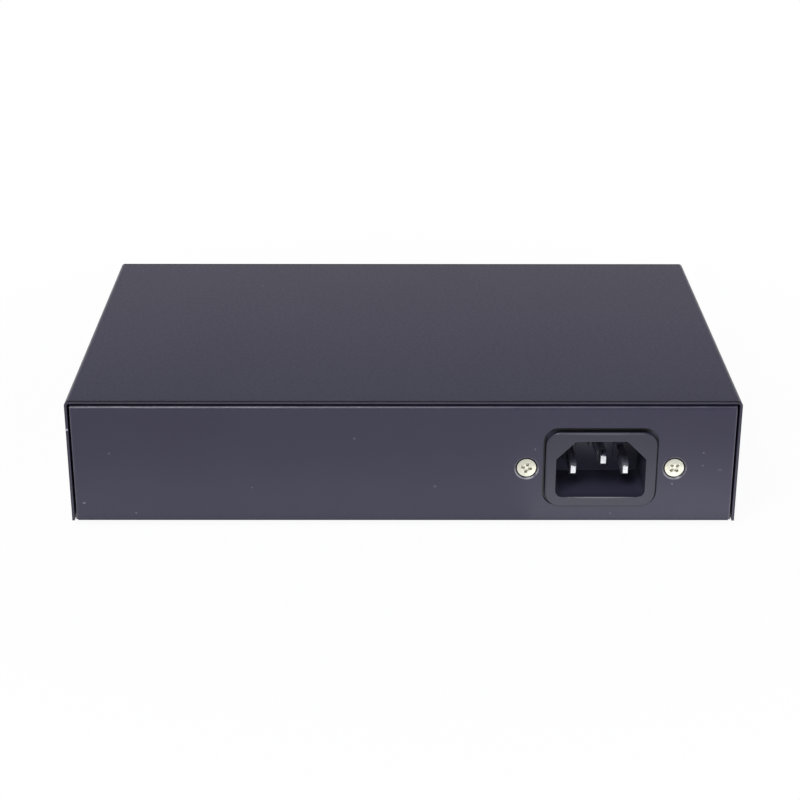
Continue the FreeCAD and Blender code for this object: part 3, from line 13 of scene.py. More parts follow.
import bmesh
import bpy
from mathutils import Matrix, Quaternion, Vector

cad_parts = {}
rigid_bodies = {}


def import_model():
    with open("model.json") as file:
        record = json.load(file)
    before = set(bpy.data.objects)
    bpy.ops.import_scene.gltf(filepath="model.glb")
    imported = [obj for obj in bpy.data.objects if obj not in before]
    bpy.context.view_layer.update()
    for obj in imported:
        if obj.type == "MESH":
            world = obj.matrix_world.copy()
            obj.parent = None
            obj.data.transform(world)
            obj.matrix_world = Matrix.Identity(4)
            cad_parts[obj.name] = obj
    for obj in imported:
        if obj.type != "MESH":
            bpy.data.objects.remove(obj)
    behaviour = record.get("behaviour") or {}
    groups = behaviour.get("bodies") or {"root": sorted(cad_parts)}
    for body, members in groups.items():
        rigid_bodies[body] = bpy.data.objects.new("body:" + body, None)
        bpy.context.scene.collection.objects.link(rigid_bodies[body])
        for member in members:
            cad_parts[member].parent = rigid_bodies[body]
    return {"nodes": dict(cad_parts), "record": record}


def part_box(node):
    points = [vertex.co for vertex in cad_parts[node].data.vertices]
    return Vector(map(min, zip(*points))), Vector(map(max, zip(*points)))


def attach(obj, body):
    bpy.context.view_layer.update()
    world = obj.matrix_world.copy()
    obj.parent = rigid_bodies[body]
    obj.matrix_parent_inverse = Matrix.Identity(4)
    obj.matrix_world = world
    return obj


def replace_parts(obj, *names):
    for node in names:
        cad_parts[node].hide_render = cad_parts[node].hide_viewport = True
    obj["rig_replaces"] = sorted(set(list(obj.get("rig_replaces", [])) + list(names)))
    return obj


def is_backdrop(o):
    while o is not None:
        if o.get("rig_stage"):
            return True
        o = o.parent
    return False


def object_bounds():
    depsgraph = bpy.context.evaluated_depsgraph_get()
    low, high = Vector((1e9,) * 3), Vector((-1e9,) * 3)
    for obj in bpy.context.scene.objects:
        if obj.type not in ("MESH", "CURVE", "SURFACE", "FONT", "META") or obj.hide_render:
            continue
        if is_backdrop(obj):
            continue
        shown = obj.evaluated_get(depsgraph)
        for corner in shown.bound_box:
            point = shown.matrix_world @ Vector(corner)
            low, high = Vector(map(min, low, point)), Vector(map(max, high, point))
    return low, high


for leftover in list(bpy.data.objects):
    bpy.data.objects.remove(leftover)
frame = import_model()
CAD_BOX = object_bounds()

log = logging.getLogger("poe_switch")
MM = 0.001
BODY = "root"
SMOOTH_ANGLE = math.radians(35)
SHARP_ANGLE = math.radians(38)
SAME = 1e-6
SHROUD_WIDTH = 30 * MM
SHROUD_HEIGHT = 21.8 * MM

Object = bpy.types.Object
Node = bpy.types.Node
Socket = bpy.types.NodeSocket
Outputs = bpy.types.bpy_prop_collection
Tree = bpy.types.NodeTree
Test = Callable[[Sequence[Vector]], bool]
Colour = tuple[float, float, float]
Place = Sequence[float]


# Shader trees.


class Shade:
    """A shader tree that is wired by short calls."""

    def __init__(self, tree: Tree) -> None:
        """Takes the tree that the calls work on."""
        self.tree = tree

    def node(self, kind: str, inputs: dict | None = None, **settings: object) -> Node:
        """Adds a node.

        Args:
            kind: the node's type.
            inputs: a value or another node's socket for each input, by name or number.
            settings: the node's own settings.

        Returns:
            The new node.
        """
        made = self.tree.nodes.new(kind)
        for key, value in settings.items():
            setattr(made, key, value)
        for key, value in (inputs or {}).items():
            if isinstance(value, Socket):
                self.tree.links.new(value, made.inputs[key])
            else:
                made.inputs[key].default_value = value
        return made

    def math(self, operation: str, first: object, second: object = 0.0, clamp: bool = False) -> Socket:
        """Adds a sum, product or comparison and gives its result."""
        made = self.node("ShaderNodeMath", {0: first, 1: second}, operation=operation, use_clamp=clamp)
        return made.outputs[0]

    def times(self, first: object, second: object) -> Socket:
        """Multiplies two values and gives the result."""
        return self.math("MULTIPLY", first, second)

    def near(self, distance: object, reach: object) -> Socket:
        """Gives how near a distance is: 1 at nothing, falling to 0 at the reach."""
        return self.math("SUBTRACT", 1.0, self.math("DIVIDE", distance, reach), clamp=True)

    def vector(self, operation: str, first: object, second: object = (0.0, 0.0, 0.0)) -> Socket:
        """Adds a sum, product or measure of vectors and gives its result."""
        made = self.node("ShaderNodeVectorMath", {0: first, 1: second}, operation=operation)
        return made.outputs["Value" if operation in ("LENGTH", "DOT_PRODUCT") else "Vector"]

    def split(self, vector: Socket) -> Outputs:
        """Gives the three parts of a vector."""
        return self.node("ShaderNodeSeparateXYZ", {0: vector}).outputs

    def ramp(self, value: object, low: float, high: float, to_low: object = 0.0,
             to_high: object = 1.0) -> Socket:
        """Maps a stretch of values smoothly to another and gives the result."""
        inputs = {"Value": value, "From Min": low, "From Max": high, "To Min": to_low, "To Max": to_high}
        return self.node("ShaderNodeMapRange", inputs, interpolation_type="SMOOTHSTEP").outputs[0]

    def mix(self, factor: object, first: object, second: object) -> Socket:
        """Mixes two colours and gives the result."""
        return self.node("ShaderNodeMix", {0: factor, 6: first, 7: second}, data_type="RGBA").outputs[2]

    def layered(self, colour: Socket, layers: Iterable[tuple[Socket, float, Colour]]) -> Socket:
        """Lays plain tones over a colour, one after the other.

        Args:
            colour: the colour below.
            layers: mask, strength and tone of each layer.

        Returns:
            The socket of the colour on top.
        """
        for mask, strength, tone in layers:
            colour = self.mix(self.times(mask, strength), colour, (*tone, 1.0))
        return colour

    def noise(self, vector: object, scale: object, detail: float = 2.0) -> Socket:
        """Adds a cloudy pattern and gives its value."""
        inputs = {"Vector": vector, "Scale": scale, "Detail": detail}
        return self.node("ShaderNodeTexNoise", inputs).outputs[0]

    def scaled(self, vector: object, scale: Place) -> Socket:
        """Stretches coordinates and gives the result."""
        return self.node("ShaderNodeMapping", {"Vector": vector, "Scale": tuple(scale)}).outputs[0]

    def give(self, **values: Socket) -> Tree:
        """Ends a node group with the values that it gives.

        Args:
            values: the socket of each value, by name.

        Returns:
            The group.
        """
        for label in values:
            self.tree.interface.new_socket(name=label, in_out="OUTPUT", socket_type="NodeSocketFloat")
        self.node("NodeGroupOutput", values)
        return self.tree


def start_tree(owner: bpy.types.Material | bpy.types.World) -> Shade:
    """Empties the shader tree of a material or a world.

    Args:
        owner: the material or world.

    Returns:
        The empty tree.
    """
    owner.use_nodes = True
    owner.node_tree.nodes.clear()
    return Shade(owner.node_tree)


def start_group(name: str, inputs: dict[str, float | Colour]) -> tuple[Shade, Outputs]:
    """Starts a shader node group that takes coordinates and values of its own.

    Args:
        name: the group's name.
        inputs: name and value of each input besides the coordinates; a vector where it has three numbers.

    Returns:
        The group's tree and its inputs' sockets.
    """
    shade = Shade(bpy.data.node_groups.new(name, "ShaderNodeTree"))
    for label, value in {"Vector": (0.0, 0.0, 0.0), **inputs}.items():
        kind = "NodeSocketVector" if isinstance(value, tuple) else "NodeSocketFloat"
        socket = shade.tree.interface.new_socket(name=label, in_out="INPUT", socket_type=kind)
        socket.default_value = value
    return shade, shade.node("NodeGroupInput").outputs


def build_grain() -> Tree:
    """Fine surface relief with slow drift of shade: Height and Drift.

    Returns:
        The group.
    """
    shade, given = start_group("surface_grain", {"Scale": 900.0, "Drift Scale": 25.0})
    coarse = shade.noise(given["Vector"], given["Scale"], 1.0)
    fine = shade.noise(given["Vector"], shade.times(given["Scale"], 3.7))
    height = shade.math("ADD", shade.times(coarse, 0.7), shade.times(fine, 0.3))
    drift = shade.ramp(shade.noise(given["Vector"], given["Drift Scale"], 3.0), 0.3, 0.7)
    return shade.give(Height=height, Drift=drift)


def build_dust() -> Tree:
    """Scattered pale specks of several sizes: Mask.

    Returns:
        The group.
    """
    shade, given = start_group("dust_specks", {"Scale": 200.0, "Share": 0.05, "Size": 0.12})
    cells = shade.node("ShaderNodeTexVoronoi", {"Vector": given["Vector"], "Scale": given["Scale"]}).outputs
    lot = shade.node("ShaderNodeSeparateColor", {0: cells["Color"]}).outputs
    chosen = shade.math("LESS_THAN", lot[0], given["Share"])
    reach = shade.times(given["Size"], shade.math("ADD", lot[1], 0.25))
    ragged = shade.ramp(shade.near(cells["Distance"], reach), 0.05, 0.55)
    return shade.give(Mask=shade.times(ragged, chosen))


def build_wear() -> Tree:
    """Rubbed edges of a box-shaped piece, broken up by a cloudy pattern: Mask.

    Returns:
        The group.
    """
    inputs = {"Centre": (0.0, 0.0, 0.0), "Half": (1.0, 1.0, 1.0), "Reach": 0.0006, "Patch Scale": 120.0}
    shade, given = start_group("edge_wear", inputs)
    offset = shade.vector("SUBTRACT", given["Vector"], given["Centre"])
    x, y, z = shade.split(shade.vector("SUBTRACT", given["Half"], shade.vector("ABSOLUTE", offset)))
    edges = [shade.math("MAXIMUM", first, second) for first, second in ((x, y), (y, z), (x, z))]
    nearest = shade.math("MINIMUM", shade.math("MINIMUM", edges[0], edges[1]), edges[2])
    patches = shade.ramp(shade.noise(given["Vector"], given["Patch Scale"], 4.0), 0.36, 0.62, 0.4, 1.0)
    return shade.give(Mask=shade.times(shade.near(nearest, given["Reach"]), patches))


def build_scratches() -> Tree:
    """Fine lines left by a tool or by rubbing: Mask and Height.

    Returns:
        The group.
    """
    shade, given = start_group("fine_scratches", {"Scale": 1500.0, "Stretch": (1.0, 1.0, 0.05)})
    lines = shade.noise(shade.vector("MULTIPLY", given["Vector"], given["Stretch"]), given["Scale"], 3.0)
    return shade.give(Mask=shade.ramp(lines, 0.35, 0.65), Height=lines)


def build_ring() -> Tree:
    """A mirrored ring round screw places, weaker on its upper side as light falls, for painted highlights and
    shade: Mask.

    Returns:
        The group.
    """
    shade, given = start_group("screw_ring", {
        "Middle": (0.0, 0.0, 0.0), "Spread": (0.0, 0.0, 0.0), "Plane": (1.0, 0.2, 1.0),
        "Radius": 0.00314, "Width": 0.00027, "Upper": 0.2,
    })
    offset = shade.vector("SUBTRACT", given["Vector"], given["Middle"])
    place = shade.vector("SUBTRACT", shade.vector("ABSOLUTE", offset), given["Spread"])
    length = shade.vector("LENGTH", shade.vector("MULTIPLY", place, given["Plane"]))
    off_ring = shade.math("ABSOLUTE", shade.math("SUBTRACT", length, given["Radius"]))
    low_side = shade.ramp(shade.split(offset)[2], -0.0018, 0.0008, 1.0, given["Upper"])
    patches = shade.ramp(shade.noise(given["Vector"], 330.0), 0.36, 0.52, 0.3, 1.0)
    ring_band = shade.times(shade.ramp(shade.near(off_ring, given["Width"]), 0.0, 0.6), patches)
    return shade.give(Mask=shade.times(ring_band, low_side))


def build_depth() -> Tree:
    """How far a point lies behind a front level of Y, from 0 to 1: Mask.

    Returns:
        The group.
    """
    shade, given = start_group("recess_depth", {"Front": 0.0, "Reach": 0.003})
    behind = shade.math("SUBTRACT", given["Front"], shade.split(given["Vector"])[1])
    return shade.give(Mask=shade.ramp(shade.math("DIVIDE", behind, given["Reach"]), 0.15, 1.0))


def build_sheared() -> Tree:
    """The cover's cut edge, lightened as bare edge and painted highlight, the painted shade line on the top
    beside it, and all of its sheet: Strip, Line and Sheet.

    Returns:
        The group.
    """
    shade, given = start_group("sheared_edge", {"Half": (1.0, 1.0, 1.0), "Sheet": 0.0008})
    x, y, z = shade.split(shade.vector("SUBTRACT", given["Half"], shade.vector("ABSOLUTE", given["Vector"])))
    wall = shade.math("MINIMUM", x, z)
    in_sheet = shade.math("LESS_THAN", wall, given["Sheet"])
    patches = shade.ramp(shade.noise(given["Vector"], 170.0, 4.0), 0.3, 0.6, 0.45, 1.0)
    face = shade.ramp(y, 0.00008, 0.0002, 1.0, 0.0)
    # beside and skin place the painted shade line on the top, just behind the edge.
    beside = shade.ramp(y, 0.00045, 0.0008, 1.0, 0.0)
    skin = shade.ramp(wall, 0.00012, 0.0003, 1.0, 0.0)
    # The strip lightens the cut edge: partly bare edge, partly a painted highlight of its rounding.
    strip = shade.times(shade.times(face, in_sheet), patches)
    return shade.give(Strip=strip, Line=shade.times(beside, skin), Sheet=in_sheet)


def build_speck() -> Tree:
    """One speck, chip or short scratch at a place of its own: Mask.

    Returns:
        The group.
    """
    shade, given = start_group("single_speck", {"Place": (0.0, 0.0, 0.0), "Size": (0.0003, 0.0003, 0.0003)})
    offset = shade.vector("SUBTRACT", given["Vector"], given["Place"])
    length = shade.vector("LENGTH", shade.vector("DIVIDE", offset, given["Size"]))
    ragged = shade.math("ADD", length, shade.ramp(shade.noise(given["Vector"], 5000.0), 0.3, 0.7, -0.3, 0.3))
    return shade.give(Mask=shade.ramp(ragged, 0.5, 1.2, 1.0, 0.0))


class Effects:
    """The shared effects, each a node group built once."""

    def __init__(self) -> None:
        """Builds every effect."""
        self.grain = build_grain()
        self.dust = build_dust()
        self.wear = build_wear()
        self.scratches = build_scratches()
        self.ring = build_ring()
        self.depth = build_depth()
        self.sheared = build_sheared()
        self.speck = build_speck()


class Skin(Shade):
    """A material's tree with the object's coordinates and the shared effects."""

    def __init__(self, material: bpy.types.Material, effects: Effects) -> None:
        """Starts the material's tree.

        Args:
            material: the material.
            effects: the shared node groups.
        """
        super().__init__(start_tree(material).tree)
        self.effects = effects
        self.spot = self.node("ShaderNodeTexCoord").outputs["Object"]

    def place(self, effect: Tree, inputs: dict) -> Outputs:
        """Places an effect on the object's coordinates, or on its own, and gives its outputs."""
        return self.node("ShaderNodeGroup", {"Vector": self.spot, **inputs}, node_tree=effect).outputs

    def mask(self, effect: Tree, inputs: dict) -> Socket:
        """Places an effect and gives its mask."""
        return self.place(effect, inputs)["Mask"]


# Finishes.

POCKET = "pocket"


class Pattern(Enum):
    """What covers a surface."""

    COATED = "powder coat"
    MOULDED = "moulded plastic"
    # Its cavity is painted by depth: painted light and shade inside, a painted shadow in the gap round the
    # shroud, painted highlights along its lower lip and upper edge.
    RECESSED = "moulded plastic, darker down in its recess"
    PLATED = "plated metal"
    # Behind its tip the pin is painted a dull grey and is not metallic: painted shade where it lies deep in
    # the cavity.
    PIN = "plated metal, dull behind its tip"
    BRUSHED = "brushed or drawn metal"
    LAMINATE = "board with tracks under its lacquer"
    WOUND = "turns of wire or tape"
    CLEAR = "clear or tinted"


class Tone:
    """Colours of marks and dust, of painted shade and of painted highlights."""

    dust: Colour = (0.4, 0.4, 0.42)
    coat_dust: Colour = (0.4, 0.4, 0.44)
    # A darker olive tone for the faces down in a screw's cross recess.
    pocket_tone: Colour = (0.26, 0.25, 0.19)
    # Painted shade of a pin behind its tip, deep in the cavity.
    pin_shaft_shade: Colour = (0.12, 0.118, 0.15)
    # Painted light and shade of the inlet's cavity by depth, and a lighter painted tone on its back wall.
    recess: Colour = (0.034, 0.033, 0.056)
    recess_wall_light: Colour = (0.054, 0.052, 0.088)
    # Painted shadow in the gap round the shroud.
    shroud_gap_shadow: Colour = (0.002, 0.002, 0.003)
    # Painted highlights along the cavity's lower lip and the shroud's upper edge.
    lower_lip_highlight: Colour = (0.17, 0.17, 0.18)
    upper_edge_highlight: Colour = (0.11, 0.11, 0.125)
    # Painted shade line on the cover's top beside its cut edge.
    edge_shade_line: Colour = (0.006, 0.0055, 0.009)
    # Painted highlight along the tray's fold and side edges, with rubbed patches.
    fold_sheen_and_wear: Colour = (0.15, 0.145, 0.175)
    # Lighter cut edge of the cover: partly bare edge, partly a painted highlight of its rounding.
    cut_edge_and_sheen: Colour = (0.13, 0.13, 0.14)
    # Painted shade in the inlet's screw dimples.
    dimple_shade: Colour = (0.003, 0.003, 0.005)
    # Painted highlight on the rim round each screw, stronger on its lower side.
    screw_rim_highlight: Colour = (0.3, 0.3, 0.32)


@dataclass(frozen=True)
class Speck:
    """A mark on the coat of the rear, in millimetres.

    Attributes:
        x, z: its place.
        width, height: its half sizes.
        strength: how strongly it shows.
        face, depth: the level of Y that it lies at and its half size along Y.
    """

    x: float
    z: float
    width: float
    height: float
    strength: float
    face: float = 57.0
    depth: float = 0.4

    def mask(self, skin: Skin) -> Socket:
        """Finds where the mark shows.

        Args:
            skin: the material's tree.

        Returns:
            The socket of the mask.
        """
        place = (self.x * MM, self.face * MM, self.z * MM)
        size = (self.width * MM, self.depth * MM, self.height * MM)
        return skin.times(skin.mask(skin.effects.speck, {"Place": place, "Size": size}), self.strength)


SPECKS = (
    Speck(90.15, 29.1, 0.3, 0.35, 1.0),
    Speck(79.3, 22.1, 0.25, 0.22, 0.3),
    Speck(86.9, 7.3, 0.45, 0.25, 0.3),
    Speck(72.9, 4.3, 0.3, 0.2, 0.25),
    Speck(41.0, 12.0, 0.22, 0.2, 0.2),
    Speck(-80.9, 22.4, 0.3, 0.18, 0.25),
    Speck(-80.9, 18.6, 0.2, 0.2, 0.25),
    Speck(-85.6, 17.3, 0.75, 0.12, 0.22),
    Speck(-72.9, 13.2, 0.22, 0.22, 0.4),
    Speck(-35.5, 23.4, 0.16, 0.4, 0.22),
)


@dataclass(frozen=True)
class Finish:
    """How one kind of surface looks.

    Attributes:
        slot: the record's material slot, also the material's name.
        colour: plain colour.
        accent: colour of the drift, dust, tracks or turns.
        rough: roughness in the middle of its drift.
        pattern: what covers the surface.
        grain: relief marks per metre.
        relief: height of the relief in metres.
        metallic, coat, transmission, specular, ior: the shader's own plain values.
        dust: share of speck cells that hold a speck.
        stretch: direction of scratches, tracks or turns.
    """

    slot: str
    colour: Colour
    accent: Colour
    rough: float
    pattern: Pattern
    grain: float = 1500.0
    relief: float = 0.01 * MM
    metallic: float = 0.0
    coat: float = 0.0
    transmission: float = 0.0
    specular: float = 0.5
    ior: float = 1.5
    dust: float = 0.0
    stretch: Colour = (1.0, 1.0, 0.05)

    def build(self, effects: Effects) -> bpy.types.Material:
        """Builds the material.

        Args:
            effects: the shared node groups.

        Returns:
            The material, named after the slot.
        """
        material = bpy.data.materials.new(self.slot)
        skin = Skin(material, effects)
        colour, rough, height = self.surface(skin)
        bump = skin.node("ShaderNodeBump", {"Height": height, "Distance": self.relief, "Strength": 1.0})
        plain = {"Base Color": colour, "Roughness": rough, "Metallic": self.metallic,
                 "Normal": bump.outputs[0], "Coat Weight": self.coat, "Coat Roughness": 0.12,
                 "Transmission Weight": self.transmission, "Specular IOR Level": self.specular,
                 "IOR": self.ior}
        if self.pattern is Pattern.PIN:
            # Painted shade: behind its tip the pin turns dull grey and stops being metal, as it looks deep in
            # the cavity.
            shaft_shade = skin.mask(effects.depth, {"Front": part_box("inlet_line_blade")[1].y, "Reach": 0.9 * MM})
            plain["Base Color"] = skin.layered(colour, ((shaft_shade, 1.0, Tone.pin_shaft_shade),))
            plain["Metallic"] = skin.math("SUBTRACT", 1.0, shaft_shade)
        surface = skin.node("ShaderNodeBsdfPrincipled", plain)
        skin.node("ShaderNodeOutputMaterial", {"Surface": surface.outputs[0]})
        return material

    def surface(self, skin: Skin) -> tuple[Socket, Socket, Socket]:
        """Wires the pattern.

        Args:
            skin: the material's tree.

        Returns:
            The sockets of colour, roughness and height.
        """
        grain = skin.place(skin.effects.grain, {"Scale": self.grain})
        if self.pattern is Pattern.COATED:
            return self.coated(skin, grain)
        if self.pattern in (Pattern.PLATED, Pattern.PIN, Pattern.BRUSHED):
            return self.plated(skin)
        plain, accent = (*self.colour, 1.0), (*self.accent, 1.0)
        drift, height = grain["Drift"], grain["Height"]
        rough = skin.ramp(drift, 0.0, 1.0, self.rough - 0.04, self.rough + 0.04)
        if self.pattern is Pattern.LAMINATE:
            inputs = {"Vector": skin.spot, "Scale": 160.0, "Mortar Size": 0.03}
            tracks = skin.node("ShaderNodeTexBrick", inputs, offset=0.37)
            web = skin.times(tracks.outputs["Fac"], skin.ramp(drift, 0.2, 0.5))
            return skin.mix(web, plain, accent), rough, skin.math("ADD", height, web)
        if self.pattern is Pattern.WOUND:
            inputs = {"Vector": skin.scaled(skin.spot, self.stretch), "Scale": self.grain, "Distortion": 0.4}
            turns = skin.node("ShaderNodeTexWave", inputs).outputs["Fac"]
            return skin.mix(turns, accent, plain), rough, turns
        specks = skin.mask(skin.effects.dust, {"Scale": 420.0, "Share": self.dust, "Size": 0.2})
        shaded = skin.mix(skin.times(drift, 0.6), plain, accent)
        dust_and_painted_tones = skin.layered(shaded, ((specks, 0.4, Tone.dust),))
        # The inlet's plastic gets its painted light and shade on top of the dust.
        if self.pattern is Pattern.RECESSED:
            dust_and_painted_tones = self.recessed(skin, dust_and_painted_tones)
        return dust_and_painted_tones, rough, height

    def plated(self, skin: Skin) -> tuple[Socket, Socket, Socket]:
        """Wires plated or brushed metal: fine scratches, and a darker olive tone down in the recess of a
        screw.

        Args:
            skin: the material's tree.

        Returns:
            The sockets of colour, roughness and height.
        """
        marks = skin.place(skin.effects.scratches, {"Stretch": self.stretch})
        colour = skin.mix(skin.times(marks["Mask"], 0.5), (*self.colour, 1.0), (*self.accent, 1.0))
        rough = skin.ramp(marks["Mask"], 0.0, 1.0, self.rough - 0.05, self.rough + 0.07)
        pocket = skin.node("ShaderNodeAttribute", attribute_name=POCKET).outputs["Fac"]
        return skin.layered(colour, ((pocket, 0.6, Tone.pocket_tone),)), rough, marks["Height"]

    @staticmethod
    def recessed(skin: Skin, colour: Socket) -> Socket:
        """Wires the inlet's painted light and shade: tones by depth in the cavity, a painted shadow in the
        gap round the shroud, and painted highlights on the lower lip and upper edge.

        Args:
            skin: the material's tree.
            colour: the colour of its front.

        Returns:
            The socket of the colour.
        """
        effects = skin.effects
        middle = middle_of("inlet_housing")
        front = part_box("inlet_housing")[1].y
        half = Vector((SHROUD_WIDTH / 2, 0, SHROUD_HEIGHT / 2))
        # Painted light and shade by depth: deep sets the cavity's tone, wall a lighter painted tone on its
        # back wall.
        deep = skin.mask(effects.depth, {"Front": front})
        wall = skin.mask(effects.depth, {"Front": front - 13.5 * MM, "Reach": 3.5 * MM})
        # behind and outside find the shroud's sides just behind its front: a painted shadow in the gap round
        # it.
        behind = skin.mask(effects.depth, {"Front": front, "Reach": 0.9 * MM})
        outside = skin.mask(effects.wear, {
            "Vector": skin.scaled(skin.spot, (1, 0, 1)), "Centre": (middle.x, 0, middle.z),
            "Half": tuple(half), "Reach": 0.6 * MM, "Patch Scale": 0.0,
        })
        # A painted highlight along the cavity's lower lip.
        lip = skin.mask(effects.speck, {
            "Place": (middle.x, front, middle.z - MainsInlet.cavity_height / 2),
            "Size": (9.8 * MM, 0.32 * MM, 0.28 * MM),
        })
        # A painted highlight along the shroud's upper edge.
        upper_edge_highlight = skin.mask(effects.speck, {
            "Place": (middle.x, front, middle.z + half.z - 0.35 * MM),
            "Size": (13.0 * MM, 0.5 * MM, 0.3 * MM),
        })
        return skin.layered(colour, (
            (deep, 1.0, Tone.recess),
            (wall, 1.0, Tone.recess_wall_light),
            (skin.times(behind, outside), 1.4, Tone.shroud_gap_shadow),
            (lip, 0.8, Tone.lower_lip_highlight),
            (upper_edge_highlight, 0.5, Tone.upper_edge_highlight),
        ))

    def coated(self, skin: Skin, grain: Outputs) -> tuple[Socket, Socket, Socket]:
        """Wires the powder coat: orange peel, drift of tint, painted shade and painted highlights at sheet
        edges and screws, wear and dust.

        Args:
            skin: the material's tree.
            grain: the outputs of the grain.

        Returns:
            The sockets of colour, roughness and height.
        """
        edge = skin.place(skin.effects.sheared, {"Half": tuple(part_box("top_cover")[1]), "Sheet": 0.82 * MM})
        rim_highlights, dimples = self.screw_marks(skin)
        specks = self.coat_dust(skin)
        tinted = skin.mix(grain["Drift"], (*self.colour, 1.0), (*self.accent, 1.0))
        on_tray = skin.math("SUBTRACT", 1.0, edge["Sheet"])
        # Painted shade: the line beside the cover's edge and the inlet's dimples. Painted highlights, partly
        # with real wear: the fold, the cut edge and the ring round each screw.
        colour = skin.layered(tinted, (
            (edge["Line"], 1.0, Tone.edge_shade_line),
            (skin.times(self.fold_sheen_and_wear(skin), on_tray), 0.5, Tone.fold_sheen_and_wear),
            (edge["Strip"], 0.06, Tone.cut_edge_and_sheen),
            (dimples, 0.9, Tone.dimple_shade),
            (rim_highlights, 0.75, Tone.screw_rim_highlight),
            (specks, 1.0, Tone.coat_dust),
        ))
        plain_rough = skin.ramp(grain["Height"], 0.3, 0.7, self.rough - 0.05, self.rough + 0.05)
        rough = skin.math("MAXIMUM", plain_rough, skin.times(edge["Line"], 0.95))
        return colour, rough, skin.math("ADD", grain["Height"], skin.times(specks, 0.8))

    @staticmethod
    def fold_sheen_and_wear(skin: Skin) -> Socket:
        """Finds the painted highlight along the tray's fold and side edges, broken into rubbed patches, more
        so towards its ends.

        Args:
            skin: the material's tree.

        Returns:
            The socket of the mask.
        """
        low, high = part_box("chassis_base")
        fold = skin.mask(skin.effects.wear, {
            "Centre": tuple((high + low) / 2 - Vector((0, 0, 0.8 * MM))),
            "Half": tuple((high - low) / 2 + Vector((0.15, -0.3, 0.5)) * MM),
            "Reach": 0.36 * MM, "Patch Scale": 90.0,
        })
        across = skin.math("ABSOLUTE", skin.split(skin.spot)[0])
        return skin.times(fold, skin.ramp(across, 0.0, 0.085, 0.55, 1.0))

    @staticmethod
    def screw_marks(skin: Skin) -> tuple[Socket, Socket]:
        """Finds the painted highlight on the rim round every screw and the painted shade in the dimples of
        the inlet's.

        Args:
            skin: the material's tree.

        Returns:
            The masks of the painted highlights round the screws and of the painted shade in the dimples.
        """
        ring = skin.effects.ring
        inlet = middle_of("inlet_housing")
        left, right, _ = round_pair("inlet_screws")
        at_inlet = {"Middle": (inlet.x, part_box("chassis_base")[1].y, inlet.z),
                    "Spread": ((right - left) / 2, 0, 0)}
        low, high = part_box("cover_screws")
        radius = (high.z - low.z) / 2
        at_cover = {"Middle": (0, 0, low.z + radius), "Plane": (0.2, 1, 1),
                    "Spread": (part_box("top_cover")[1].x, high.y - radius, 0)}
        rim_highlights = skin.math("MAXIMUM", skin.mask(ring, at_inlet), skin.mask(ring, at_cover))
        # The same ring, wide and even all round, gives the painted shade in the inlet's dimples.
        dimple = {"Plane": (1, 0, 1), "Radius": 2.6 * MM, "Width": 0.7 * MM, "Upper": 1.0}
        return rim_highlights, skin.mask(ring, {**at_inlet, **dimple})

    def coat_dust(self, skin: Skin) -> Socket:
        """Scatters faint dust and lint, and adds the single marks of SPECKS.

        Args:
            skin: the material's tree.

        Returns:
            The socket of the mask.
        """
        dust = skin.mask(skin.effects.dust, {"Scale": 230.0, "Share": self.dust, "Size": 0.16})
        drawn_out = skin.scaled(skin.spot, (0.35, 1.0, 1.0))
        lint = skin.mask(skin.effects.dust, {"Vector": drawn_out, "Scale": 190.0, "Share": self.dust / 2,
                                             "Size": 0.08})
        specks = skin.times(skin.math("MAXIMUM", dust, lint), 0.22)
        for speck in SPECKS:
            specks = skin.math("MAXIMUM", specks, speck.mask(skin))
        return specks


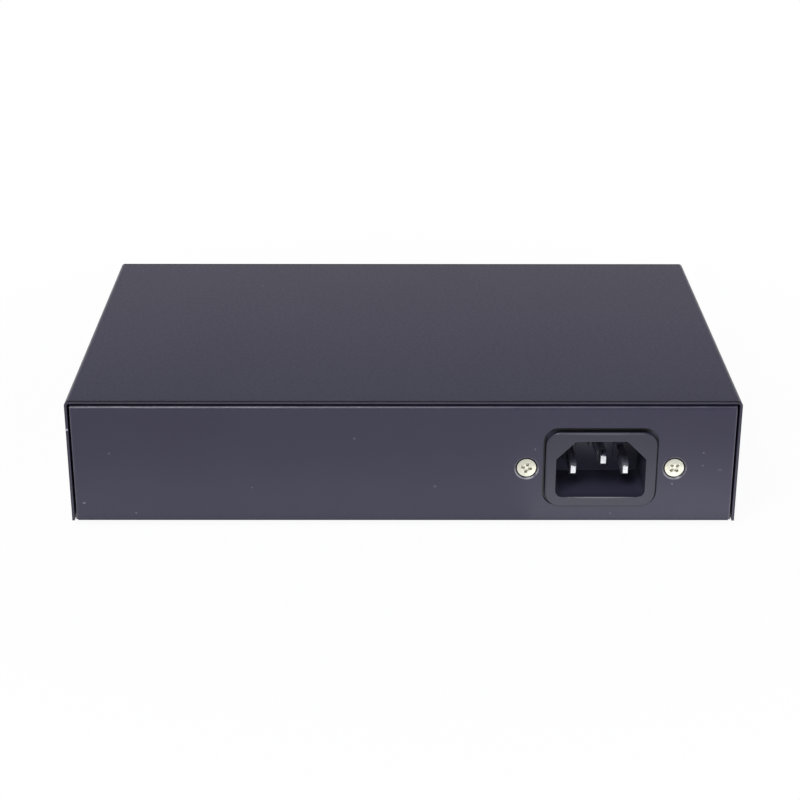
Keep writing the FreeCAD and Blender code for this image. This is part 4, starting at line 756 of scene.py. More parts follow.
FINISHES = (
    Finish("case_paint", (0.0208, 0.0186, 0.0395), (0.0228, 0.021, 0.0425), 0.36, Pattern.COATED,
           grain=1100.0, relief=0.012 * MM, specular=0.42, dust=0.04),
    Finish("inlet_plastic", (0.024, 0.0245, 0.039), (0.0215, 0.022, 0.035), 0.34, Pattern.RECESSED,
           grain=2200.0, relief=0.006 * MM, specular=0.4, dust=0.02),
    Finish("bright_steel", (0.62, 0.615, 0.53), (0.515, 0.505, 0.42), 0.3, Pattern.PLATED, metallic=1.0,
           stretch=(1.0, 0.3, 1.0)),
    Finish("pin_metal", (0.54, 0.545, 0.57), (0.45, 0.455, 0.48), 0.28, Pattern.PIN, metallic=1.0,
           stretch=(1.0, 0.08, 1.0)),
    Finish("foot_rubber", (0.02, 0.02, 0.021), (0.03, 0.03, 0.03), 0.8, Pattern.MOULDED, grain=2600.0,
           relief=0.02 * MM, dust=0.05),
    Finish("laminate", (0.012, 0.09, 0.035), (0.03, 0.2, 0.08), 0.32, Pattern.LAMINATE, relief=0.02 * MM,
           coat=0.3),
    Finish("standoff_brass", (0.72, 0.52, 0.22), (0.6, 0.4, 0.16), 0.3, Pattern.BRUSHED, metallic=1.0),
    Finish("jack_plastic", (0.017, 0.017, 0.018), (0.024, 0.024, 0.025), 0.45, Pattern.MOULDED),
    Finish("jack_tin", (0.66, 0.66, 0.65), (0.5, 0.5, 0.5), 0.32, Pattern.BRUSHED, metallic=1.0,
           stretch=(0.05, 1.0, 1.0)),
    Finish("contact_gold", (0.9, 0.62, 0.22), (0.8, 0.5, 0.16), 0.2, Pattern.PLATED, metallic=1.0),
    Finish("lamp_green", (0.06, 0.32, 0.09), (0.08, 0.4, 0.12), 0.25, Pattern.CLEAR, transmission=0.35,
           coat=0.5),
    Finish("lamp_amber", (0.62, 0.3, 0.04), (0.7, 0.36, 0.06), 0.25, Pattern.CLEAR, transmission=0.35,
           coat=0.5),
    Finish("chip_black", (0.022, 0.022, 0.022), (0.032, 0.032, 0.032), 0.55, Pattern.MOULDED,
           relief=0.02 * MM),
    Finish("can_steel", (0.7, 0.7, 0.68), (0.55, 0.55, 0.53), 0.25, Pattern.BRUSHED, metallic=1.0),
    Finish("sink_aluminium", (0.72, 0.72, 0.73), (0.58, 0.58, 0.6), 0.38, Pattern.BRUSHED, metallic=1.0),
    Finish("ferrite", (0.045, 0.045, 0.048), (0.06, 0.06, 0.062), 0.7, Pattern.MOULDED, relief=0.03 * MM),
    Finish("winding_tape", (0.62, 0.45, 0.05), (0.5, 0.34, 0.03), 0.4, Pattern.WOUND, grain=180.0,
           relief=0.05 * MM, stretch=(0.0, 0.0, 1.0)),
    Finish("winding_copper", (0.42, 0.14, 0.05), (0.2, 0.06, 0.02), 0.3, Pattern.WOUND, grain=240.0,
           relief=0.3 * MM, metallic=0.6, stretch=(1.0, 0.0, 0.0)),
    Finish("can_sleeve", (0.012, 0.018, 0.06), (0.02, 0.028, 0.08), 0.25, Pattern.MOULDED, coat=0.4),
    Finish("filter_plastic", (0.55, 0.36, 0.05), (0.6, 0.4, 0.07), 0.4, Pattern.MOULDED),
    Finish("socket_plastic", (0.74, 0.72, 0.64), (0.68, 0.66, 0.57), 0.42, Pattern.MOULDED),
    Finish("fuse_glass", (0.8, 0.84, 0.84), (0.7, 0.74, 0.74), 0.08, Pattern.CLEAR, transmission=0.8),
    Finish("clip_metal", (0.72, 0.7, 0.62), (0.56, 0.54, 0.46), 0.3, Pattern.BRUSHED, metallic=1.0),
    Finish("insulating_film", (0.72, 0.72, 0.66), (0.78, 0.78, 0.72), 0.35, Pattern.MOULDED),
    Finish("boot_red", (0.42, 0.02, 0.012), (0.5, 0.035, 0.02), 0.5, Pattern.MOULDED),
    Finish("wire_brown", (0.09, 0.03, 0.012), (0.12, 0.045, 0.02), 0.4, Pattern.MOULDED),
    Finish("wire_blue", (0.012, 0.05, 0.32), (0.02, 0.07, 0.4), 0.4, Pattern.MOULDED),
    Finish("wire_green", (0.08, 0.28, 0.02), (0.5, 0.5, 0.04), 0.4, Pattern.MOULDED),
    Finish("wire_red", (0.42, 0.012, 0.01), (0.5, 0.02, 0.015), 0.4, Pattern.MOULDED),
    Finish("wire_black", (0.014, 0.014, 0.014), (0.02, 0.02, 0.02), 0.4, Pattern.MOULDED),
)


# Shaping.


def take(obj: Object) -> None:
    """Makes an object the only selected one.

    Args:
        obj: the object.
    """
    bpy.ops.object.select_all(action="DESELECT")
    obj.select_set(True)
    bpy.context.view_layer.objects.active = obj


def name_new(name: str) -> Object:
    """Names the primitive just added and puts its place into its mesh.

    Args:
        name: its new name.

    Returns:
        The primitive.
    """
    obj = bpy.context.view_layer.objects.active
    obj.name = obj.data.name = name
    take(obj)
    bpy.ops.object.transform_apply(location=True, rotation=True, scale=True)
    return obj


def add_block(name: str, low: Place, high: Place) -> Object:
    """Adds a block between two corners.

    Args:
        name: the object's name.
        low: its lowest corner.
        high: its highest corner.

    Returns:
        The new object.
    """
    low, high = Vector(low), Vector(high)
    bpy.ops.object.select_all(action="DESELECT")
    bpy.ops.mesh.primitive_cube_add(size=1, location=(low + high) / 2, scale=high - low)
    return name_new(name)


def add_bar(name: str, middle: Vector, width: float, height: float, start: float, end: float) -> Object:
    """Adds a block that runs along Y.

    Args:
        name: the object's name.
        middle: a point on its middle line.
        width: its size across the case.
        height: its size upwards.
        start, end: where it begins and ends along Y.

    Returns:
        The new object.
    """
    return add_block(name, (middle.x - width / 2, start, middle.z - height / 2),
                     (middle.x + width / 2, end, middle.z + height / 2))


def add_cone(name: str, start: Place, axis: Place, length: float, near: float, far: float | None = None,
             sides: int = 48) -> Object:
    """Adds a cylinder, cone or frustum.

    Args:
        name: the object's name.
        start: middle of its first end.
        axis: direction from the first end to the other.
        length: length along the axis.
        near: radius at the first end.
        far: radius at the other end, where it differs.
        sides: faces round it.

    Returns:
        The new object.
    """
    axis = Vector(axis).normalized()
    turn = axis.to_track_quat("Z", "Y").to_euler()
    bpy.ops.object.select_all(action="DESELECT")
    far = near if far is None else far
    bpy.ops.mesh.primitive_cone_add(vertices=sides, radius1=near, radius2=far, depth=length,
                                    location=Vector(start) + axis * length / 2, rotation=turn)
    return name_new(name)


def edit(obj: Object, kind: str) -> None:
    """Opens an object's mesh for editing, with nothing selected.

    Args:
        obj: the object.
        kind: VERT, EDGE or FACE.
    """
    take(obj)
    bpy.ops.object.mode_set(mode="EDIT")
    bpy.ops.mesh.select_mode(type=kind)
    bpy.ops.mesh.select_all(action="DESELECT")


def close() -> None:
    """Leaves edit mode."""
    bpy.ops.object.mode_set(mode="OBJECT")


def select(obj: Object, kind: str, test: Test) -> None:
    """Opens an object for editing and selects the edges or faces whose corners pass a test.

    Args:
        obj: the object.
        kind: "edges" or "faces".
        test: says yes or no to a list of corners.
    """
    edit(obj, {"edges": "EDGE", "faces": "FACE"}[kind])
    mesh = bmesh.from_edit_mesh(obj.data)
    passed = [item for item in getattr(mesh, kind) if test([corner.co for corner in item.verts])]
    for item in passed:
        item.select_set(True)
    bmesh.update_edit_mesh(obj.data)
    if not passed:
        raise ValueError(f"nothing to select on {obj.name}")


def extrude(*offset: float) -> None:
    """Extrudes what is selected by an offset."""
    bpy.ops.mesh.extrude_region_move(TRANSFORM_OT_translate={"value": offset})


def along(axis: int) -> Test:
    """Gives a test for edges that run along one axis."""
    others = [other for other in range(3) if other != axis]
    return lambda ends: all(abs(ends[0][other] - ends[1][other]) < SAME for other in others)


def at(axis: int, level: float) -> Test:
    """Gives a test for edges or faces that lie at one level of an axis."""
    return lambda corners: all(abs(corner[axis] - level) < SAME for corner in corners)


def round_edges(obj: Object, test: Test, width: float, steps: int) -> None:
    """Bevels the edges that pass a test.

    Args:
        obj: the object.
        test: says yes or no to an edge's two ends.
        width: width of the bevel.
        steps: how many faces it has.
    """
    select(obj, "edges", test)
    bpy.ops.mesh.bevel(offset=width, segments=steps, affect="EDGES")
    close()


def modify(obj: Object, kind: str, **settings: object) -> None:
    """Adds a modifier and applies it.

    Args:
        obj: the object.
        kind: the modifier's type.
        settings: the modifier's own settings.
    """
    take(obj)
    modifier = obj.modifiers.new(kind.lower(), kind)
    for key, value in settings.items():
        setattr(modifier, key, value)
    bpy.ops.object.modifier_apply(modifier=modifier.name)


def repeat(obj: Object, count: int, *offset: float) -> None:
    """Repeats an object's mesh at a constant offset."""
    modify(obj, "ARRAY", count=count, use_relative_offset=False, use_constant_offset=True,
           constant_offset_displace=offset)


def cut(obj: Object, tool: Object) -> None:
    """Cuts a closed tool out of an object and removes the tool."""
    combine(obj, tool, "DIFFERENCE")


def unite(obj: Object, tool: Object) -> None:
    """Unites an object with a closed tool and removes the tool."""
    combine(obj, tool, "UNION")


def combine(obj: Object, tool: Object, operation: str) -> None:
    """Applies an exact boolean and removes the tool."""
    modify(obj, "BOOLEAN", object=tool, operation=operation, solver="EXACT")
    bpy.data.objects.remove(tool)


def join(objects: Sequence[Object], name: str) -> Object:
    """Joins objects into one.

    Args:
        objects: the objects.
        name: name of the joined one.

    Returns:
        The joined object.
    """
    take(objects[0])
    for obj in objects:
        obj.select_set(True)
    bpy.ops.object.join()
    joined = bpy.context.view_layer.objects.active
    joined.name = joined.data.name = name
    return joined


def soften(obj: Object, width: float, steps: int = 2) -> None:
    """Rounds every sharp edge a little, as paint, plating or a mould leaves it."""
    modify(obj, "BEVEL", width=width, segments=steps, limit_method="ANGLE", angle_limit=SHARP_ANGLE,
           miter_outer="MITER_ARC", use_clamp_overlap=True, harden_normals=False)


def face_out(sheet: Object, side: int) -> None:
    """Merges a sheet's doubled corners and turns its faces outwards.

    Args:
        sheet: the sheet, still without its thickness.
        side: 1 where its highest face looks up, -1 where its lowest looks down.
    """
    edit(sheet, "VERT")
    bpy.ops.mesh.select_all(action="SELECT")
    bpy.ops.mesh.remove_doubles(threshold=SAME)
    bpy.ops.mesh.normals_make_consistent(inside=False)
    close()
    outer = max(sheet.data.polygons, key=lambda face: side * face.center.z)
    if side * outer.normal.z < 0:
        edit(sheet, "FACE")
        bpy.ops.mesh.select_all(action="SELECT")
        bpy.ops.mesh.flip_normals()
        close()


def moved_copy(obj: Object, name: str, matrix: Matrix) -> Object:
    """Copies an object with a mesh of its own, moved by a matrix.

    Args:
        obj: the object.
        name: the copy's name.
        matrix: where it goes.

    Returns:
        The copy.
    """
    copied = bpy.data.objects.new(name, obj.data.copy())
    bpy.context.scene.collection.objects.link(copied)
    copied.data.name = name
    copied.data.transform(matrix)
    return copied


def middle_of(node: str) -> Vector:
    """Gives the middle of a CAD node's box."""
    low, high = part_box(node)
    return (low + high) / 2


def round_pair(node: str) -> tuple[float, float, float]:
    """Measures the two round parts of one node, side by side across the case.

    Args:
        node: the node's name.

    Returns:
        The left one's place, the right one's place and the radius.
    """
    low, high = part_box(node)
    radius = (high.z - low.z) / 2
    return low.x + radius, high.x - radius, radius


class Dresser:
    """Gives pieces their finish and their place on the body."""

    def __init__(self) -> None:
        """Builds the shared effects and every material."""
        effects = Effects()
        self.materials = {finish.slot: finish.build(effects) for finish in FINISHES}
        self.count = 0

    def piece(self, obj: Object, slot: str, *nodes: str) -> None:
        """Finishes a new piece.

        Args:
            obj: the piece, at the origin.
            slot: the material slot.
            nodes: the CAD nodes that it stands for.
        """
        take(obj)
        bpy.ops.object.transform_apply(location=True, rotation=True, scale=True)
        bpy.ops.object.shade_smooth_by_angle(angle=SMOOTH_ANGLE)
        modify(obj, "WEIGHTED_NORMAL", keep_sharp=True, weight=50)
        obj.data.materials.clear()
        obj.data.materials.append(self.materials[slot])
        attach(obj, BODY)
        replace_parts(obj, *nodes)
        self.count += 1
        log.info("piece %s: %d faces, %s", obj.name, len(obj.data.polygons), slot)

    def node(self, name: str, slot: str) -> None:
        """Gives a CAD node that stays its finish.

        Args:
            name: the node's name.
            slot: its material slot.
        """
        obj = frame["nodes"][name]
        obj.data.materials.clear()
        obj.data.materials.append(self.materials[slot])
        log.info("node %s: %s", name, slot)


@dataclass
class SheetMetal:
    """Folded sheet steel with pressed screw dimples.

    Attributes:
        sheet: thickness.
        bend: outer radius of a fold.
        edge: rounding that the paint leaves on a sheared edge.
        dimple: radius of a countersink at the face.
        hole: radius of a screw hole.
        hole_length: length of the tool that cuts it.
        pressed: depth of the countersink, through the sheet and its boss.
        boss_wall: how far the boss reaches round the countersink.
        overlap: how far shapes reach into each other where they join.
        screw_inset: distance of the cover's screws from its ends.
        screw_height: their height over its lower edge.
    """

    sheet: float = 0.8 * MM
    bend: float = 1.2 * MM
    edge: float = 0.2 * MM
    dimple: float = 3.2 * MM
    hole: float = 1.7 * MM
    hole_length: float = 4 * MM
    pressed: float = 1.55 * MM
    boss_wall: float = 0.3 * MM
    overlap: float = 0.1 * MM
    screw_inset: float = 6 * MM
    screw_height: float = 20 * MM

    @staticmethod
    def start_sheet(name: str, size: Vector, level: float) -> Object:
        """Lays out a flat sheet without thickness at a level.

        Args:
            name: the object's name.
            size: its width and depth.
            level: its height.

        Returns:
            The sheet.
        """
        bpy.ops.object.select_all(action="DESELECT")
        bpy.ops.mesh.primitive_plane_add(size=1, location=(0, 0, level))
        sheet = name_new(name)
        sheet.scale = (size.x, size.y, 1)
        take(sheet)
        bpy.ops.object.transform_apply(scale=True)
        return sheet

    def fold(self, obj: Object, bends: Test) -> None:
        """Rounds the folds of a surface and gives it its thickness inwards."""
        round_edges(obj, bends, self.bend, 6)
        modify(obj, "SOLIDIFY", thickness=self.sheet, offset=-1.0, use_even_offset=True)

    def press(self, obj: Object, face: Place, outwards: Place) -> None:
        """Presses a countersunk screw place.

        Args:
            obj: the sheet.
            face: middle of the dimple on the outer face.
            outwards: direction out of that face.
        """
        outwards = Vector(outwards)
        face = Vector(face)
        boss_length = self.pressed - self.sheet + self.overlap
        boss_start = face - outwards * (self.sheet - self.overlap)
        wide = self.dimple + self.boss_wall
        unite(obj, add_cone("boss", boss_start, -outwards, boss_length, wide, wide - boss_length))
        start = face + outwards * self.overlap
        reach = self.dimple - self.hole + self.overlap
        cut(obj, add_cone("recess", start, -outwards, reach, self.dimple + self.overlap, self.hole))
        cut(obj, add_cone("hole", start, -outwards, self.hole_length, self.hole))


@dataclass
class CaseCover(SheetMetal):
    """The folded cover: flat top, two side flanges with vents, four screw dimples."""

    sheet: float = 0.68 * MM
    vent_width: float = 2.2 * MM
    vent_height: float = 14 * MM
    vent_corner: float = 0.9 * MM
    vent_pitch: float = 5 * MM
    vent_count: int = 14
    vent_base: float = 11 * MM

    def build(self, dresser: Dresser) -> None:
        """Builds the cover in place of its plain solid.

        Args:
            dresser: gives the pieces their finish.
        """
        low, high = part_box("top_cover")
        size = high - low
        cover = self.start_sheet("cover_shell", size, high.z)
        for side in (low.x, high.x):
            select(cover, "edges", lambda ends: at(0, side)(ends) and at(2, high.z)(ends))
            extrude(0, 0, -size.z)
            close()
        face_out(cover, 1)
        self.fold(cover, lambda ends: at(2, high.z)(ends) and abs(ends[0].x) > size.x / 2 - MM
                  and along(1)(ends))
        self.cut_vents(cover, low)
        for x in (low.x, high.x):
            for y in (low.y + self.screw_inset, high.y - self.screw_inset):
                self.press(cover, (x, y, low.z + self.screw_height), (math.copysign(1, x), 0, 0))
        soften(cover, self.edge)
        dresser.piece(cover, "case_paint", "top_cover")

    def cut_vents(self, cover: Object, low: Vector) -> None:
        """Cuts the round-cornered slots through both flanges.

        Args:
            cover: the cover.
            low: lowest corner of the solid.
        """
        width = abs(low.x) + MM
        first = -(self.vent_count - 1) * self.vent_pitch / 2
        bottom = low.z + self.vent_base
        slot = add_block("vents", (-width, first - self.vent_width / 2, bottom),
                         (width, first + self.vent_width / 2, bottom + self.vent_height))
        round_edges(slot, along(0), self.vent_corner, 4)
        repeat(slot, self.vent_count, 0, self.vent_pitch, 0)
        cut(cover, slot)


@dataclass
class BaseTray(SheetMetal):
    """The folded tray: floor, both end panels with top lips, side tabs and rails, and all openings."""

    lip: float = 7 * MM
    tab_depth: float = 10 * MM
    tab_margin: float = 2 * MM
    tab_hole_length: float = 3 * MM
    rail_gap: float = 3 * MM
    rail_height: float = 7 * MM
    relief_width: float = 0.25 * MM
    relief_depth: float = 1.2 * MM
    relief_height: float = 0.6 * MM
    floor_bend: float = 0.85 * MM
    floor_drop: float = 0.2 * MM
    floor_reach: float = 0.45 * MM
    side_reach: float = 0.2 * MM
    inlet_slack: float = 0.5 * MM
    inlet_sag: Place = (0.12 * MM, 0, 0.42 * MM)
    inlet_corner: float = 4.0 * MM
    jack_slack: float = 0.25 * MM
    lamp_slack: float = 0.2 * MM

    def build(self, dresser: Dresser) -> None:
        """Builds the tray in place of its plain solid.

        Args:
            dresser: gives the pieces their finish.
        """
        low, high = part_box("chassis_base")
        wide = Vector((self.side_reach, 0, 0))
        drop = Vector((0, 0, self.floor_drop))
        tray = self.folded(low - wide - drop, high + wide)
        self.add_tabs(tray, low, high)
        self.cut_corners(tray, low - wide - drop, high + wide)
        self.cut_front(tray, low)
        self.cut_rear(tray, high)
        soften(tray, self.edge)
        dresser.piece(tray, "case_paint", "chassis_base")

    def folded(self, low: Vector, high: Vector) -> Object:
        """Folds the floor, the end panels and their lips.

        Args:
            low: lowest corner of the folded sheet.
            high: highest corner of the folded sheet.

        Returns:
            The folded tray, without tabs and openings.
        """
        size = high - low
        tray = self.start_sheet("base_tray", size, low.z)
        for side in (low.y, high.y):
            select(tray, "edges", lambda ends: at(1, side)(ends) and at(2, low.z)(ends))
            extrude(0, 0, size.z)
            extrude(0, -math.copysign(self.lip, side), 0)
            close()
        face_out(tray, -1)
        level = (low.z + high.z) / 2
        corner = lambda ends: along(0)(ends) and abs(abs(ends[0].y) - size.y / 2) < SAME
        round_edges(tray, lambda ends: corner(ends) and ends[0].z < level, self.floor_bend, 5)
        self.fold(tray, lambda ends: corner(ends) and ends[0].z > level)
        start, end = low.y + self.relief_depth, high.y - self.relief_depth
        for near, far in ((low.x - self.floor_reach, low.x + self.overlap),
                          (high.x - self.overlap, high.x + self.floor_reach)):
            unite(tray, add_block("floor_edge", (near, start, low.z), (far, end, low.z + self.sheet)))
        return tray

    def add_tabs(self, tray: Object, low: Vector, high: Vector) -> None:
        """Adds the upright side tabs at the panels and the low rails between them.

        Args:
            tray: the tray.
            low: lowest corner of the solid.
            high: highest corner of the solid.
        """
        panel = high.y - self.sheet
        tab_end = panel - self.tab_depth
        rail_end = tab_end - self.rail_gap
        floor = low.z + self.sheet
        tab_low, tab_high = floor + self.tab_margin, high.z - self.sheet - self.tab_margin
        for outer in (low.x, high.x):
            side = math.copysign(1, outer)
            left, right = sorted((outer, outer - side * self.sheet))
            for near, far in ((tab_end, panel + self.overlap), (-panel - self.overlap, -tab_end)):
                unite(tray, add_block("tab", (left, near, tab_low), (right, far, tab_high)))
            unite(tray, add_block("rail", (left, -rail_end, floor - self.overlap),
                                  (right, rail_end, floor + self.rail_height)))
            for y in (low.y + self.screw_inset, high.y - self.screw_inset):
                start = (outer + side * MM, y, low.z + self.screw_height)
                cut(tray, add_cone("tab_hole", start, (-side, 0, 0), self.tab_hole_length, self.hole))

    def cut_corners(self, tray: Object, low: Vector, high: Vector) -> None:
        """Cuts the small bend reliefs at the floor's corners.

        Args:
            tray: the tray.
            low: lowest corner of the folded sheet.
            high: highest corner of the folded sheet.
        """
        for x in (low.x, high.x):
            for y in (low.y, high.y):
                near = (x - self.relief_width, y - self.relief_depth, low.z - MM)
                far = (x + self.relief_width, y + self.relief_depth, low.z + self.relief_height)
                cut(tray, add_block("relief", near, far))

    def cut_front(self, tray: Object, low: Vector) -> None:
        """Cuts the openings of the socket rows and the round lamp holes.

        Args:
            tray: the tray.
            low: lowest corner of the solid.
        """
        start, end = low.y - MM, low.y + self.sheet + MM
        slack = Vector((self.jack_slack, 0, self.jack_slack))
        for row, _ in Sockets.rows:
            near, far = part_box(f"{row}_shield")
            near, far = near - slack, far + slack
            cut(tray, add_block("opening", (near.x, start, near.z), (far.x, end, far.z)))
        left, right, radius = round_pair("status_lamps")
        height = middle_of("status_lamps").z
        wide = radius + self.lamp_slack
        for x in (left, right):
            cut(tray, add_cone("lamp_hole", (x, start, height), (0, 1, 0), end - start, wide))

    def cut_rear(self, tray: Object, high: Vector) -> None:
        """Cuts the inlet's round-cornered opening and presses its two screw places.

        Args:
            tray: the tray.
            high: highest corner of the solid.
        """
        middle = middle_of("inlet_housing")
        width, height = SHROUD_WIDTH + 2 * self.inlet_slack, SHROUD_HEIGHT + 2 * self.inlet_slack
        opening = add_bar("inlet_opening", middle + Vector(self.inlet_sag), width, height,
                          high.y - self.sheet - MM, high.y + MM)
        round_edges(opening, along(1), self.inlet_corner, 8)
        cut(tray, opening)
        for x in round_pair("inlet_screws")[:2]:
            self.press(tray, (x, high.y, middle.z), (0, 1, 0))


@dataclass
class CrossScrew:
    """A countersunk screw with a slightly domed head and a cross recess.

    Attributes:
        head: head radius.
        land: height of the head's rim.
        dome: rise of the head's middle.
        dome_steps: how far each ring of the dome lies inwards, and its share of the rise.
        shank: shank radius.
        edge: rounding of its sharp edges.
        arm_start: distance of an arm's inner end from the middle.
        arm_end: distance of an arm's outer end from the middle.
        arm_width: width of an arm at the face.
        arm_depth: depth of the arms.
        arm_floor: share of an arm's length and width that is left at its floor.
        pit: radius of the shallow round middle.
        pit_depth: depth of that middle.
        pit_flare: its radii at its floor and over the head, as shares of the radius.
        clear: how far the cutting tools stand over the head.
        pocket_radius, pocket_floor, pocket_top: what holds the faces of the recess, which take a darker tone.
    """

    head: float = 2.58 * MM
    land: float = 0.35 * MM
    dome: float = 0.2 * MM
    dome_steps: tuple[tuple[float, float], ...] = ((0.22, 0.45), (0.3, 0.35), (0.35, 0.2))
    shank: float = 1.45 * MM
    edge: float = 0.08 * MM
    arm_start: float = 0.5 * MM
    arm_end: float = 1.62 * MM
    arm_width: float = 0.95 * MM
    arm_depth: float = 0.42 * MM
    arm_floor: tuple[float, float] = (0.6, 0.5)
    pit: float = 0.85 * MM
    pit_depth: float = 0.16 * MM
    pit_flare: tuple[float, float] = (0.7, 1.8)
    clear: float = 0.3 * MM
    pocket_radius: float = 1.67 * MM
    pocket_floor: float = -0.52 * MM
    pocket_top: float = -0.02 * MM

    def model(self, length: float) -> Object:
        """Models one screw along +Z, with the rim of its head at the origin.

        Args:
            length: length under the head's rim.

        Returns:
            The screw.
        """
        screw = add_cone("screw", (0, 0, 0), (0, 0, -1), self.land, self.head)
        cone = self.head - self.shank
        shrink = self.shank / self.head
        select(screw, "faces", at(2, -self.land))
        extrude(0, 0, -cone)
        bpy.ops.transform.resize(value=(shrink, shrink, 1))
        extrude(0, 0, cone + self.land - length)
        close()
        select(screw, "faces", at(2, 0))
        for share, rise in self.dome_steps:
            bpy.ops.mesh.inset(thickness=self.head * share, depth=self.dome * rise)
        close()
        self.cut_recess(screw)
        soften(screw, self.edge, 3)
        self.mark_pockets(screw)
        return screw

    def cut_recess(self, screw: Object) -> None:
        """Cuts the four tapered arms round a shallow middle.

        Args:
            screw: the screw.
        """
        top = self.dome + self.clear
        for quarter in range(4):
            arm = add_block("arm", (self.arm_start, -self.arm_width / 2, -self.arm_depth),
                            (self.arm_end, self.arm_width / 2, top))
            select(arm, "faces", at(2, -self.arm_depth))
            bpy.ops.transform.resize(value=(*self.arm_floor, 1),
                                     center_override=(self.arm_start, 0, -self.arm_depth))
            close()
            arm.data.transform(Matrix.Rotation(quarter * math.pi / 2, 4, "Z"))
            cut(screw, arm)
        floor, mouth = self.pit_flare
        cut(screw, add_cone("pit", (0, 0, self.dome - self.pit_depth), (0, 0, 1), top, self.pit * floor,
                            self.pit * mouth, 24))

    def mark_pockets(self, screw: Object) -> None:
        """Marks the faces down in the recess.

        Args:
            screw: the screw.
        """
        marks = screw.data.attributes.new(POCKET, "FLOAT", "FACE")
        for face, mark in zip(screw.data.polygons, marks.data):
            inside = face.center.xy.length < self.pocket_radius
            mark.value = float(inside and self.pocket_floor < face.center.z < self.pocket_top)


@dataclass
class ScrewSets:
    """Every screw that shows: two at the inlet, four in the cover's flanges.

    Attributes:
        sunk: how far a head's rim lies below the panel's face.
        cover_length: length of the cover's screws.
        turns: how far each inlet screw's cross is turned, in degrees.
        cover_turns: the same for the cover's screws.
    """

    sunk: float = 0.3 * MM
    cover_length: float = 5 * MM
    turns: tuple[float, ...] = (41.0, -12.0)
    cover_turns: tuple[float, ...] = (12.0, 63.0, 35.0, 80.0)

    def build(self, dresser: Dresser) -> None:
        """Builds the screws in place of their plain solids.

        Args:
            dresser: gives the pieces their finish.
        """
        low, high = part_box("inlet_screws")
        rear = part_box("chassis_base")[1].y - self.sunk
        height = (low.z + high.z) / 2
        places = [(Vector((x, rear, height)), Vector((0, 1, 0))) for x in round_pair("inlet_screws")[:2]]
        self.place_set("inlet_screw", high.y - low.y, places, self.turns, dresser)
        low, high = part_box("cover_screws")
        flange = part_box("top_cover")[1].x - self.sunk
        radius = (high.z - low.z) / 2
        places = [(Vector((side * flange, y, low.z + radius)), Vector((side, 0, 0)))
                  for side in (-1, 1) for y in (low.y + radius, high.y - radius)]
        self.place_set("cover_screw", self.cover_length, places, self.cover_turns, dresser)

    @staticmethod
    def place_set(name: str, length: float, places: Sequence[tuple[Vector, Vector]], turns: Sequence[float],
                  dresser: Dresser) -> None:
        """Models a screw and copies it to its places, each turned about its own axis.

        Args:
            name: name of each screw, before its number.
            length: length under the head's rim.
            places: place of each head and the direction out of its face.
            turns: turn of each screw, in degrees.
            dresser: gives the screws their finish.
        """
        model = CrossScrew().model(length)
        for number, ((face, outwards), turn) in enumerate(zip(places, turns), start=1):
            aim = outwards.to_track_quat("Z", "Y") @ Quaternion((0, 0, 1), math.radians(turn))
            screw = moved_copy(model, f"{name}_{number}", Matrix.Translation(face) @ aim.to_matrix().to_4x4())
            dresser.piece(screw, "bright_steel", f"{name}s")
        bpy.data.objects.remove(model)


